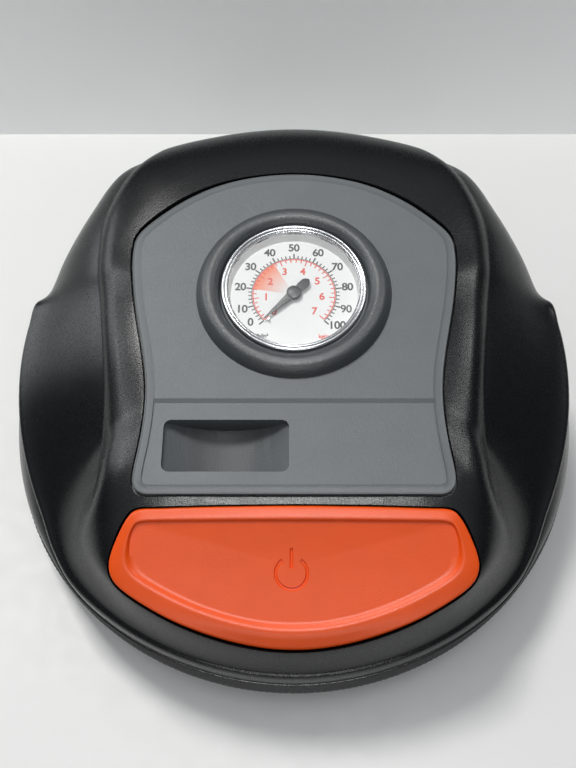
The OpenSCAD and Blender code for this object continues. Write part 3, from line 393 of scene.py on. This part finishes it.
black = material("black_plastic", (0.0055, 0.006, 0.007), 0.26, grain=0.35, bump=1.0, depth=0.05, spread=0.07, specular=0.28)
grey = material("grey_plastic", (0.148, 0.162, 0.170), 0.45, grain=0.6, bump=0.9, depth=0.10, vary=0.03, specular=0.25)
bezel_grey = material("bezel_plastic", (0.072, 0.080, 0.084), 0.38, grain=0.6, bump=1.0, depth=0.13, vary=0.03, specular=0.4)
orange = material("orange_plastic", (0.98, 0.100, 0.004), 0.36, grain=0.4, bump=0.8, depth=0.05, vary=0.03, specular=0.25)
# Painted shade: a darker copy of the orange, standing for the shade in the power symbol's groove; no piece is given it
symbol_shade_orange = material("symbol_shade_orange", (0.36, 0.045, 0.012), 0.5, grain=0.5, vary=0.03)
# Painted shade: the grey plastic's colour is darkened with depth under the fascia's face, down to half at 7 mm deep, so
# the tray and other recesses look shaded
tree = grey.node_tree
spot = tree.nodes.new("ShaderNodeTexCoord")
height = tree.nodes.new("ShaderNodeVectorMath")
height.operation = "DOT_PRODUCT"
up = Matrix.Rotation(math.radians(FASCIA_TILT), 4, "X") @ Vector((0, 0, 1))
height.inputs[1].default_value = up
tree.links.new(spot.outputs["Object"], height.inputs[0])
shade_by_depth = tree.nodes.new("ShaderNodeMapRange")
level = up.dot(Vector(FASCIA_AT) * MM)
shade_by_depth.inputs["From Min"].default_value = level - 7 * MM
shade_by_depth.inputs["From Max"].default_value = level - 1.5 * MM
shade_by_depth.inputs["To Min"].default_value = 0.5
tree.links.new(height.outputs["Value"], shade_by_depth.inputs["Value"])
painted_recess_shade = tree.nodes.new("ShaderNodeMix")
painted_recess_shade.data_type = "RGBA"
painted_recess_shade.blend_type = "MULTIPLY"
painted_recess_shade.inputs["Factor"].default_value = 1
surface = tree.nodes["Principled BSDF"].inputs["Base Color"]
tree.links.new(surface.links[0].from_socket, painted_recess_shade.inputs[6])
tree.links.new(shade_by_depth.outputs["Result"], painted_recess_shade.inputs[7])
tree.links.new(painted_recess_shade.outputs[2], surface)
SLOTS = {
    "black_plastic": black,
    "grey_plastic": grey,
    "bezel_plastic": bezel_grey,
    "orange_plastic": orange,
    "foot_rubber": material("foot_rubber", (0.02, 0.02, 0.02), 0.8, grain=0.8, bump=0.6),
    "soft_rubber": material("soft_rubber", (0.028, 0.028, 0.03), 0.62, grain=0.5, bump=0.4),
    "hose_braid": material("hose_braid", (0.03, 0.03, 0.033), 0.62, grain=0.25, bump=0.8, depth=0.08, vary=0.2, cloud=1.2),
    "screw_steel": material("screw_steel", (0.55, 0.55, 0.56), 0.32, 1.0, grain=0.3, bump=0.1),
    "chrome": material("chrome", (0.42, 0.43, 0.44), 0.24, 1.0, grain=2, bump=0.004, spread=0.02, vary=0.01),
    "lens": material("lens", (0.95, 0.97, 0.98), 0.05, grain=8, bump=0.01, spread=0.01, vary=0.0, alpha=0.03, specular=0.2),
    "dial_white": material("dial_white", (0.78, 0.79, 0.785), 0.55, grain=0.6, bump=0.05, vary=0.015),
    "brass": material("brass", (0.62, 0.45, 0.18), 0.3, 1.0, grain=0.4, bump=0.1),
    "copper": material("copper", (0.60, 0.27, 0.12), 0.35, 1.0, grain=0.4, bump=0.15),
    "case_steel": material("case_steel", (0.42, 0.42, 0.43), 0.36, 1.0, grain=0.5, bump=0.15),
    "pointer_grey": material("pointer_grey", (0.045, 0.046, 0.05), 0.4, grain=0.5, bump=0.1),
    "ferrite": material("ferrite", (0.06, 0.06, 0.065), 0.7, grain=0.5, bump=0.4),
    "carbon": material("carbon", (0.03, 0.03, 0.03), 0.75, grain=0.3, bump=0.3),
    "nylon_white": material("nylon_white", (0.72, 0.70, 0.64), 0.45, grain=0.6, bump=0.15),
    "fan_plastic": material("fan_plastic", (0.30, 0.06, 0.02), 0.45, grain=0.6, bump=0.2),
    "alloy": material("alloy", (0.54, 0.55, 0.57), 0.42, 1.0, grain=0.6, bump=0.5),
    "gasket_fibre": material("gasket_fibre", (0.28, 0.12, 0.07), 0.8, grain=0.4, bump=0.4),
    "inner_plastic": material("inner_plastic", (0.035, 0.035, 0.04), 0.5, grain=0.5, bump=0.3),
}
for part in frame["record"]["subparts"]:
    nodes[part["node"]].data.materials.clear()
    nodes[part["node"]].data.materials.append(SLOTS[part["material_slot"]])

# ---- air hose ----

hose_end = HOSE_FROM - HOSE_SWEEP


def polar(r, degrees):
    a = math.radians(degrees)
    return np.array([r * math.cos(a), r * math.sin(a), 0])


def hose_path(step):
    """Centreline of the hose: once round the groove, then a tighter turn into the dock."""
    turn = [polar(HOSE_R, HOSE_FROM - a) for a in np.linspace(0, HOSE_SWEEP, int(HOSE_SWEEP / step) + 1)]
    end = [polar(HOSE_R / 2, hose_end) + polar(HOSE_R / 2, hose_end - a)
           for a in np.linspace(0, END_TURN, int(END_TURN / step / 0.5) + 1)[1:]]
    return np.array(turn + end) + np.array([0, 0, HOSE_Z])


def swept(name, path, r, sides, relief=None, place=HERE):
    """Tube along a path. relief(distance along, angle round) adds height to the radius."""
    ways = np.gradient(path, axis=0)
    ways /= np.linalg.norm(ways, axis=1)[:, None]
    along = np.concatenate([[0], np.cumsum(np.linalg.norm(np.diff(path, axis=0), axis=1))])
    up = np.array([0.013, 0.007, 1.0])
    angles = np.linspace(0, 2 * math.pi, sides, endpoint=False)
    loops = []
    for p, w, s in zip(path, ways, along):
        up = up - w * up.dot(w)
        up /= np.linalg.norm(up)
        side = np.cross(w, up)
        radius = r + (relief(s, angles) if relief else 0 * angles)
        loops.append(p + radius[:, None] * (np.cos(angles)[:, None] * side + np.sin(angles)[:, None] * up))
    return loft(name, loops, place)


BRAID_PITCH, BRAID_STRANDS = 22.0, 12


def braid(s, angles):
    """Two sets of crossing strands, each over two and under two."""
    p = BRAID_STRANDS * angles / (2 * math.pi) + BRAID_STRANDS * s / BRAID_PITCH
    q = BRAID_STRANDS * angles / (2 * math.pi) - BRAID_STRANDS * s / BRAID_PITCH
    over = np.sin(math.pi * (p + q) / 2)
    a = np.abs(np.sin(math.pi * p)) * (0.6 + 0.4 * over)
    b = np.abs(np.sin(math.pi * q)) * (0.6 - 0.4 * over)
    return 0.34 * np.maximum(a, b) - 0.6


hose_line = hose_path(0.35)
hose = swept("braided_hose", hose_line, HOSE_D / 2, 72, braid)
finish_piece(hose, SLOTS["hose_braid"], stands_for=["air_hose"], angle=60)

# ---- upper housing ----

STEPS = 384
OUTER_T = np.concatenate([np.arange(-1, 9.3, 0.1), [9.3, 10, 11.6]])
INNER_T = np.array([11.6, 10, 9.3, 8.8, 8.4, 8, 7.6, 7.2, 6.8, 6.4, 6, 5.5, 5, 4.5, 4, 2, 0, -1])


def radial(degrees, r_low, r_high, z, r, name):
    """Cylinder that runs outwards from the axis at a bearing."""
    a = math.radians(degrees)
    turn = Matrix.Rotation(a, 4, "Z") @ Matrix.Rotation(math.pi / 2, 4, "Y")
    return cylinder(name, r, r_low, r_high, Matrix.Translation((0, 0, z * MM)) @ turn)


upper = loft("upper_shell", [np.concatenate([skin(a, OUTER_T, 0), skin(a, INNER_T, WALL)])
                             for a in 360 * np.arange(STEPS) / STEPS], ring=True)
grown_fascia = outline([(x * (1 + PANEL_GAP / 50), y * (1 + PANEL_GAP / 50)) for x, y in FASCIA_EDGE], 8)
grown_button = outline([(x * (1 + PANEL_GAP / 50), y + (PANEL_GAP if y > -10 else -PANEL_GAP))
                        for x, y in BUTTON_EDGE], 8)
boolean(upper, [prism("c1", grown_fascia, -12, 20, ON_FASCIA), prism("c2", grown_button, -5.6, 20, ON_BUTTON),
                radial(GLAND_AT, 80, 100, GLAND_Z, 4.55, "c3")])
finish_piece(upper, black, stands_for=["upper_housing"], angle=32)

# Dark seat under the fascia's edge, seen down the gap
seat = loft("fascia_seat", [np.column_stack([outline(FASCIA_EDGE, 6) * s, np.full(36 * 6, z)])
                            for s, z in ((0.94, -4.4), (1.03, -4.4), (1.03, -2.6), (0.94, -2.6))],
            ON_FASCIA, ring=True)
finish_piece(seat, black)

# ---- lower housing ----


def lower_profile(angle):
    """(r, z) round the lower housing's wall at a bearing, from the underside to the inside."""
    r, top = section(angle)[0]
    top -= 0.25
    rim = max(r, RIM_R)
    mid = np.array([max(r, (r + RIM_R) / 2 + 0.7), (FLANGE_TOP + top) / 2])
    low, high = np.array([rim - 0.05, 21.9]), np.array([r + 0.05, top - 0.5])
    pull = 2 * mid - (low + high) / 2
    rise = [low * (1 - t)**2 + pull * 2 * t * (1 - t) + high * t * t for t in np.linspace(0, 1, 9)]
    inner = r - WALL
    return np.array([
        (30, 2), (60, 2), (80, 2), (84, 2), (85.6, 2.2), (87.2, 3.0), (88.6, 4.1), (89.6, 5.2), (90, 6.4),
        (90, 8.7), (89.85, 9.05), (89.5, GROOVE_LOW), (88, GROOVE_LOW), (87.5, 9.3), (TUB_R, 9.6), (TUB_R, 14),
        (TUB_R, 19), (87.5, 19.3), (88, GROOVE_HIGH), (rim - 2.2, GROOVE_HIGH), (rim - 1.2, 19.5),
        (rim - 0.5, 19.9), (rim - 0.1, 20.6), (rim, 21.3), *rise,
        (r - 0.1, top - 0.12), (r - 0.5, top), (inner + 0.4, top), (inner, top - 0.4),
        (inner - 0.6, 22.6), (86.5, 22), (84.9, 21.6), (84.9, 12), (84.9, 5.4), (84.4, 5), (60, 5), (30, 5)])


angles = 360 * np.arange(STEPS) / STEPS
columns = np.array([lower_profile(a) for a in angles])
loops = []
for j in range(columns.shape[1]):
    r, z = columns[:, j, 0], columns[:, j, 1]
    rad = np.radians(angles)
    loops.append(np.stack([r * np.cos(rad), r * np.sin(rad), z], 1))
lower = loft("lower_shell", loops)
dock_turn = hose_end - END_TURN - 90
in_dock = (Matrix.Rotation(math.radians(dock_turn), 4, "Z")
           @ Matrix.Translation((0, HOSE_R / 2 * (1 + math.cos(math.radians(END_TURN))) * MM, HOSE_Z * MM)))
dock_block = block("dock", (-20, 76, 4.6), (22, 86, 19.8), Matrix.Rotation(math.radians(dock_turn), 4, "Z"))
boolean(lower, [dock_block], "UNION")
cutters = [cylinder("t", 7, -16, 22, in_dock @ Matrix.Rotation(math.pi / 2, 4, "Y")),
           radial(ELBOW_AT, 80, 92, HOSE_Z, 3.05, "e")]
for x, y in POSTS:
    cutters.append(cylinder("p", 3.2, -2, 14, Matrix.Translation((x * MM, y * MM, 0))))
for x in (-46, 46):
    for y in (-50, 50):
        cutters.append(cylinder("f", 8.1, -2, 3, Matrix.Translation((x * MM, y * MM, 0))))
for k in range(-3, 4):
    cutters.append(block("v", (-31 + 6 * k, -22, -2), (-28.6 + 6 * k, 12, 10)))
for k in range(4):
    cutters.append(block("v", (19 + 5 * k, 28, -2), (21.4 + 5 * k, 52, 10)))
boolean(lower, cutters)
finish_piece(lower, black, stands_for=["lower_housing"], angle=32)

# ---- fascia ----

STEP_Z, STEP_Y = -0.75, -37.6
edge = outline(FASCIA_EDGE, 8)
BORDER = [(0.0, -2.4), (0.0, -0.9), (0.05, -0.7), (0.16, -0.56), (0.32, -0.52), (0.46, -0.58), (0.56, -0.7),
          (0.7, -0.72), (2.5, -0.24), (2.62, -0.16), (2.78, -0.05), (2.95, 0.0), (3.2, 0.0)]
fascia = loft("fascia", [np.column_stack([inset(edge, d), np.full(len(edge), z)]) for d, z in BORDER], ON_FASCIA)
field = inset(edge, 2.6)
step = prism("step", field, STEP_Z, 4, ON_FASCIA)
slope = make("slope", [(-60, -80, STEP_Z - 0.01), (60, -80, STEP_Z - 0.01), (60, STEP_Y, STEP_Z - 0.01), (-60, STEP_Y, STEP_Z - 0.01),
                       (-60, -80, 3), (60, -80, 3), (60, STEP_Y + 6, 3), (-60, STEP_Y + 6, 3)],
             [(3, 2, 1, 0), (4, 5, 6, 7), (0, 1, 5, 4), (1, 2, 6, 5), (2, 3, 7, 6), (3, 0, 4, 7)], ON_FASCIA)
boolean(step, [slope], "INTERSECT", "EXACT")


def rounded_box(low, high, r, cuts=8):
    out = []
    for cx, cy, start in ((high[0] - r, high[1] - r, 0), (low[0] + r, high[1] - r, 90),
                          (low[0] + r, low[1] + r, 180), (high[0] - r, low[1] + r, 270)):
        for k in range(cuts + 1):
            a = math.radians(start + 90 * k / cuts)
            out.append((cx + r * math.cos(a), cy + r * math.sin(a)))
    return np.array(out)


tray_well = prism("tray_well", rounded_box(TRAY[0], TRAY[1], 2.2), -20, 6, ON_FASCIA)
scoop = cylinder("scoop", SCOOP_R, 30, 80, ON_FASCIA @ Matrix.Translation(
    ((TRAY[0][0] + TRAY[1][0]) / 2 * MM, 0, (SCOOP_R - TRAY_DEPTH) * MM)) @ Matrix.Rotation(math.pi / 2, 4, "X"), 160)
boolean(tray_well, [scoop], "INTERSECT", "EXACT")
well_wall = prism("well_wall", rounded_box((TRAY[0][0] - 1.6, TRAY[0][1] - 1.6), (TRAY[1][0] + 1.6, TRAY[1][1] + 1.6), 3.6),
                  -TRAY_DEPTH - 1.6, -1.6, ON_FASCIA)
boolean(fascia, [well_wall], "UNION", "EXACT")
boolean(fascia, [step, tray_well, cylinder("hole", 21.3, -5, 5, ON_FASCIA, 128)], "DIFFERENCE", "EXACT")
bevel(fascia, 0.4)
finish_piece(fascia, grey, stands_for=["fascia_panel"], angle=30)

# ---- gauge ----

BEZEL = [(30.4, -0.9), (30.4, -0.15), (30.25, -0.1), (30.1, 0.05), (29.95, 0.3), (29.75, 0.9), (29.3, 1.9), (28.6, 2.95),
         (27.8, 3.75), (26.7, 4.2), (25.6, 4.3), (24.7, 4.0), (23.9, 3.4), (23.3, 2.6), (22.95, 1.7), (22.85, 0.6),
         (22.85, -0.9)]


def dense(profile, cuts=4):
    """A closed profile made smoother by its own spline."""
    c = np.array(profile, float)
    out = []
    for k in range(len(c) - 1):
        a, b = c[max(k - 1, 0)], c[min(k + 2, len(c) - 1)]
        for t in np.linspace(0, 1, cuts, endpoint=False):
            out.append(0.5 * (2 * c[k] + (c[k + 1] - a) * t + (2 * a - 5 * c[k] + 4 * c[k + 1] - b) * t * t
                              + (3 * c[k] - a - 3 * c[k + 1] + b) * t**3))
    out.append(c[-1])
    return out


finish_piece(lathe("bezel_ring", dense(BEZEL), ON_FASCIA), bezel_grey, stands_for=["gauge_bezel_ring"], angle=50)
CHROME = [(22.3, 0.95), (22.4, 1.6), (22.4, 2.4), (22.2, 2.95), (21.8, 3.25), (21.4, 3.2), (21.2, 2.95), (21.14, 2.55),
          (21.04, 2.55), (20.96, 2.85), (20.75, 2.95), (20.5, 2.85), (20.36, 2.55), (20.3, 2.25), (20.2, 2.45),
          (20.08, 2.35), (20.0, 2.0), (20.0, 1.0)]
chrome_ring = finish_piece(lathe("chrome_ring", dense(CHROME), ON_FASCIA, 200), SLOTS["chrome"],
                           stands_for=["gauge_chrome_ring"], angle=60)
chrome_ring.visible_shadow = False
# Stepped white ring of the dial's rim, under the lens
RIM = [(20.15, 0.9), (20.0, 0.9), (19.9, 0.2), (19.85, -0.9), (19.75, -1.6), (19.65, -2.35), (20.15, -2.35)]
dial_rim = finish_piece(lathe("dial_rim", RIM, ON_FASCIA, 160), SLOTS["dial_white"], angle=40)
dial_rim.visible_shadow = False

# Painted light: the dial white glows faintly, lifting the shadow that falls on the dial near its rim
dial_glow = SLOTS["dial_white"].node_tree.nodes["Principled BSDF"]
dial_glow.inputs["Emission Color"].default_value = (1, 1, 1, 1)
dial_glow.inputs["Emission Strength"].default_value = 0.05
for name in ("gauge_case", "gauge_lens"):
    nodes[name].visible_shadow = False
ink = material("ink_black", (0.03, 0.03, 0.032), 0.5, grain=1, bump=0.0, vary=0.0)
ink_red = material("ink_red", (0.75, 0.075, 0.045), 0.5, grain=1, bump=0.0, vary=0.0)
DIAL_Z = -2.4


def dial_angle(value):
    return math.radians(225 - 2.7 * value)


def stroke(points, faces, r0, r1, a, width, z):
    """Adds a thin raised bar between two radii on the dial."""
    c, s = math.cos(a), math.sin(a)
    base = len(points)
    for r, w in ((r0, -1), (r1, -1), (r1, 1), (r0, 1)):
        points.append((r * c - w * width / 2 * s, r * s + w * width / 2 * c, z))
    faces.append((base, base + 1, base + 2, base + 3))


def arc_strip(points, faces, r0, r1, a0, a1, z, n=96):
    base = len(points)
    for k in range(n + 1):
        a = a0 + (a1 - a0) * k / n
        points.append((r0 * math.cos(a), r0 * math.sin(a), z))
        points.append((r1 * math.cos(a), r1 * math.sin(a), z))
    for k in range(n):
        b = base + 2 * k
        faces.append((b, b + 1, b + 3, b + 2))


def printed(name, build, mat):
    points, faces = [], []
    build(points, faces)
    obj = make(name, points, faces, ON_FASCIA)
    outward(obj)
    return finish_piece(obj, mat)


PSI_PER_BAR = 14.22


def black_marks(points, faces):
    arc_strip(points, faces, 13.05, 13.25, dial_angle(0), dial_angle(100), DIAL_Z + 0.03)
    for v in range(0, 101, 2):
        major = v % 10 == 0
        stroke(points, faces, 13.1, 15.0 if major else 14.2, dial_angle(v), 0.46 if major else 0.36, DIAL_Z + 0.04)


def red_marks(points, faces):
    arc_strip(points, faces, 12.6, 12.95, dial_angle(0), dial_angle(7 * PSI_PER_BAR), DIAL_Z + 0.03)
    for k in range(0, 36):
        v = k * 0.2 * PSI_PER_BAR
        stroke(points, faces, 10.9 if k % 5 == 0 else 11.6, 12.7, dial_angle(v), 0.34, DIAL_Z + 0.04)


printed("marks_black", black_marks, ink)
printed("marks_red", red_marks, ink_red)

wedge_mat = material("wedge_orange", (0.90, 0.22, 0.09), 0.5, grain=1, bump=0.0, vary=0.0)
tree = wedge_mat.node_tree
place_in = tree.nodes.new("ShaderNodeTexCoord")
centre = tree.nodes.new("ShaderNodeVectorMath")
centre.operation = "DISTANCE"
centre.inputs[1].default_value = tuple(ON_FASCIA @ Vector((0, 0, DIAL_Z * MM)))
tree.links.new(place_in.outputs["Object"], centre.inputs[0])
fade = tree.nodes.new("ShaderNodeMapRange")
fade.inputs["From Min"].default_value = 3 * MM
fade.inputs["From Max"].default_value = 12 * MM
tree.links.new(centre.outputs["Value"], fade.inputs["Value"])
blend = tree.nodes.new("ShaderNodeMix")
blend.data_type = "RGBA"
blend.inputs[6].default_value = (0.78, 0.76, 0.74, 1)
blend.inputs[7].default_value = (0.86, 0.22, 0.10, 1)
tree.links.new(fade.outputs["Result"], blend.inputs[0])
tree.links.new(blend.outputs[2], tree.nodes["Principled BSDF"].inputs["Base Color"])
printed("wedge", lambda p, f: arc_strip(p, f, 3.2, 12.8, dial_angle(20), dial_angle(39), DIAL_Z + 0.015, 24), wedge_mat)


def word(text, x, y, size, mat, name):
    """Printed characters on the dial, centred at x, y."""
    curve = bpy.data.curves.new(name, "FONT")
    curve.body = text
    curve.size = size * MM
    curve.align_x = curve.align_y = "CENTER"
    curve.offset = (0.014 if "9" in text else 0.026) * size * MM
    curve.space_character = 0.95
    obj = bpy.data.objects.new(name, curve)
    bpy.context.scene.collection.objects.link(obj)
    deps = bpy.context.evaluated_depsgraph_get()
    mesh = bpy.data.meshes.new_from_object(obj.evaluated_get(deps))
    bpy.data.objects.remove(obj, do_unlink=True)
    mesh.transform(ON_FASCIA @ Matrix.Translation((x * MM, y * MM, (DIAL_Z + 0.05) * MM)))
    piece = bpy.data.objects.new(name, mesh)
    bpy.context.scene.collection.objects.link(piece)
    return finish_piece(piece, mat)


NUMBER_PLACES = {0: (-13.3, -9.9), 100: (13.2, -11.0)}
for v in range(0, 101, 10):
    a = dial_angle(v)
    x, y = NUMBER_PLACES.get(v, (16.9 * math.cos(a), 17.1 * math.sin(a)))
    word(str(v), x, y, 3.7, ink, f"number_{v}")
for v in range(0, 8):
    a = dial_angle(v * PSI_PER_BAR)
    word(str(v), 8.7 * math.cos(a), 8.7 * math.sin(a), 3.5, ink_red, f"bar_{v}")
word("lb/in²", -9.6, -14.6, 1.9, ink, "unit_left")
word("psi", -8.8, -16.5, 1.7, ink, "unit_left_2")
word("kg/cm²", 9.9, -14.8, 1.9, ink_red, "unit_right")
word("bar", 8.6, -16.7, 1.7, ink_red, "unit_right_2")
word("x100", 1.0, -18.4, 1.6, ink, "unit_scale")

pointer_mat = SLOTS["pointer_grey"]
TIP, TAIL = 13.0, 6.6
half = [(TIP, 0.14), (2.0, 1.25), (-2.0, 1.2), (-3.0, 1.45), (-5.2, 1.5), (-6.0, 1.0), (-TAIL, 0.3)]
shape = np.array(half + [(x, -y) for x, y in half[::-1]])
turned = Matrix.Rotation(math.radians(225), 4, "Z")
blade = prism("blade", shape, -1.35, -0.85, ON_FASCIA @ turned)
bevel(blade, 0.14, 2)
hub = lathe("hub", [(0.02, -0.45), (0.02, -1.7), (2.3, -1.7), (2.35, -1.0), (2.15, -0.62), (1.6, -0.4), (0.9, -0.32), (0.02, -0.3)], ON_FASCIA, 64)
for piece in (blade, hub):
    finish_piece(piece, pointer_mat, "pointer")
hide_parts("gauge_pointer")

# ---- power button ----

BUTTON_RIM = [(0.0, -3.0), (0.0, -1.7), (0.04, -1.35), (0.14, -1.02), (0.34, -0.8), (0.6, -0.66)]
rim_loop = outline(BUTTON_EDGE, 8)
inner_loop = outline(BUTTON_INNER, 8)
loops = []
fall = 1.3 * np.array([ease((-y - 30) / 14) for y in rim_loop[:, 1]])
for d, z in BUTTON_RIM:
    loops.append(np.column_stack([inset(rim_loop, d * 1.6), np.maximum(z - fall, -3.0 + 0.1 * z)]))
start = inset(rim_loop, 0.96)
for s, z in ((0.3, -0.36), (0.62, -0.06), (0.74, -0.08), (0.84, -0.34), (0.93, -0.75), (1.0, -1.05)):
    loops.append(np.column_stack([lerp(start, inner_loop, s), z - fall * max(0, 1 - s / 0.62)]))
middle = np.array([0, -16.5])
for u in (0.04, 0.1, 0.2, 0.32, 0.46, 0.6, 0.74, 0.86, 0.95):
    dish = -1.05 - 0.75 * math.sin(u * math.pi / 2)
    loops.append(np.column_stack([lerp(inner_loop, np.broadcast_to(middle, inner_loop.shape), u),
                                  np.full(len(rim_loop), dish)]))
button = loft("button_cap", loops, ON_BUTTON)
SYMBOL_AT, SYMBOL_R, SYMBOL_Z = (-0.7, -18.4), 4.4, -1.78


def at_symbol(points):
    return np.array([(SYMBOL_AT[0] + x, SYMBOL_AT[1] + y, SYMBOL_Z) for x, y in points])


ring_line = [(SYMBOL_R * math.sin(a), SYMBOL_R * math.cos(a)) for a in np.radians(np.linspace(35, 325, 60))]
bar_line = [(0, y) for y in np.linspace(1.4, 7.0, 8)]
groove = [swept("g1", at_symbol(ring_line), 0.5, 12, place=ON_BUTTON), swept("g2", at_symbol(bar_line), 0.5, 12, place=ON_BUTTON)]
boolean(button, groove, "DIFFERENCE", "EXACT")
finish_piece(button, orange, "button", ["power_button"], angle=40)

# ---- edges of the smaller CAD pieces ----

for name in ("connector_nut", "cable_gland", "hose_ferrules", "rubber_feet", "connector_body"):
    smoother = nodes[name].modifiers.new("edges", "BEVEL")
    smoother.width = 0.2 * MM
    smoother.segments = 2
    smoother.limit_method = "ANGLE"
    smoother.angle_limit = math.radians(40)

# ---- floor, wall and light ----


def stage_piece(name, points, faces, mat):
    obj = make(name, points, faces)
    obj.data.materials.append(mat)
    return obj


floor_mat = material("floor", (0.80, 0.80, 0.79), 0.45, grain=6, bump=0.02, vary=0.01, cloud=90)
wall_mat = material("wall", (0.82, 0.84, 0.835), 0.8, grain=4, bump=0.05, vary=0.03, cloud=60)
wall_mat.node_tree.nodes["Principled BSDF"].inputs["Emission Color"].default_value = (0.97, 1.0, 0.99, 1)
wall_mat.node_tree.nodes["Principled BSDF"].inputs["Emission Strength"].default_value = 0.15
WALL_Y = 161.5
stage_piece("floor", [(-450, -500, 0), (450, -500, 0), (450, WALL_Y, 0), (-450, WALL_Y, 0)], [(0, 1, 2, 3)], floor_mat)
wall = stage_piece("wall", [(-450, WALL_Y, -1), (450, WALL_Y, -1), (450, WALL_Y, 80), (-450, WALL_Y, 80)],
                   [(0, 1, 2, 3)], wall_mat)
wall.visible_shadow = False


def area(name, at, aim, size, power, tone=(1, 1, 1), shine_only=False):
    data = bpy.data.lights.new(name, "AREA")
    data.shape = "RECTANGLE"
    data.size, data.size_y = size
    data.energy = power
    data.color = tone
    obj = bpy.data.objects.new(name, data)
    bpy.context.scene.collection.objects.link(obj)
    obj.location = at
    obj.rotation_mode = "QUATERNION"
    obj.rotation_quaternion = (Vector(aim) - Vector(at)).to_track_quat("-Z", "Y")
    obj.visible_diffuse = not shine_only


area("ceiling", (-0.31, 0.42, 1.2), (0, 0, 0.04), (0.26, 0.26), 9, (1.0, 0.985, 0.96))
area("window", (-0.04, -0.36, 1.2), (0, 0, 0.04), (0.34, 0.14), 9, shine_only=True)
area("overhead", (0.08, -0.1, 1.25), (0, 0, 0.04), (0.4, 0.3), 4, shine_only=True)
area("left", (-0.85, 0.3, 0.9), (0, 0, 0.04), (0.35, 0.35), 3.4, (0.95, 0.98, 1.0), True)
area("wash", (-0.95, 0.5, 0.45), (0, 0, 0.04), (0.5, 0.5), 3, (0.93, 0.97, 1.0), True)
area("right", (0.8, 0.3, 0.95), (0, 0, 0.04), (0.3, 0.3), 3, shine_only=True)
area("front", (0, -1.0, 0.40), (0, 0, 0.04), (0.9, 0.05), 3.6, shine_only=True)
area("brow", (-0.12, -0.8, 1.05), (0, 0, 0.04), (0.2, 0.2), 1.0, shine_only=True)
world = bpy.data.worlds.new("world")
bpy.context.scene.world = world
world.use_nodes = True
tree = world.node_tree
ways = tree.nodes.new("ShaderNodeTexCoord")
parts = tree.nodes.new("ShaderNodeSeparateXYZ")
tree.links.new(ways.outputs["Generated"], parts.inputs[0])
sky = tree.nodes.new("ShaderNodeMapRange")
sky.interpolation_type = "SMOOTHSTEP"
sky.inputs["From Min"].default_value = 0.25
sky.inputs["From Max"].default_value = 0.85
sky.inputs["To Min"].default_value = 0.06
sky.inputs["To Max"].default_value = 0.62
tree.links.new(parts.outputs["Z"], sky.inputs["Value"])
tree.links.new(sky.outputs["Result"], tree.nodes["Background"].inputs["Strength"])
tree.nodes["Background"].inputs["Color"].default_value = (0.94, 0.97, 1.0, 1)
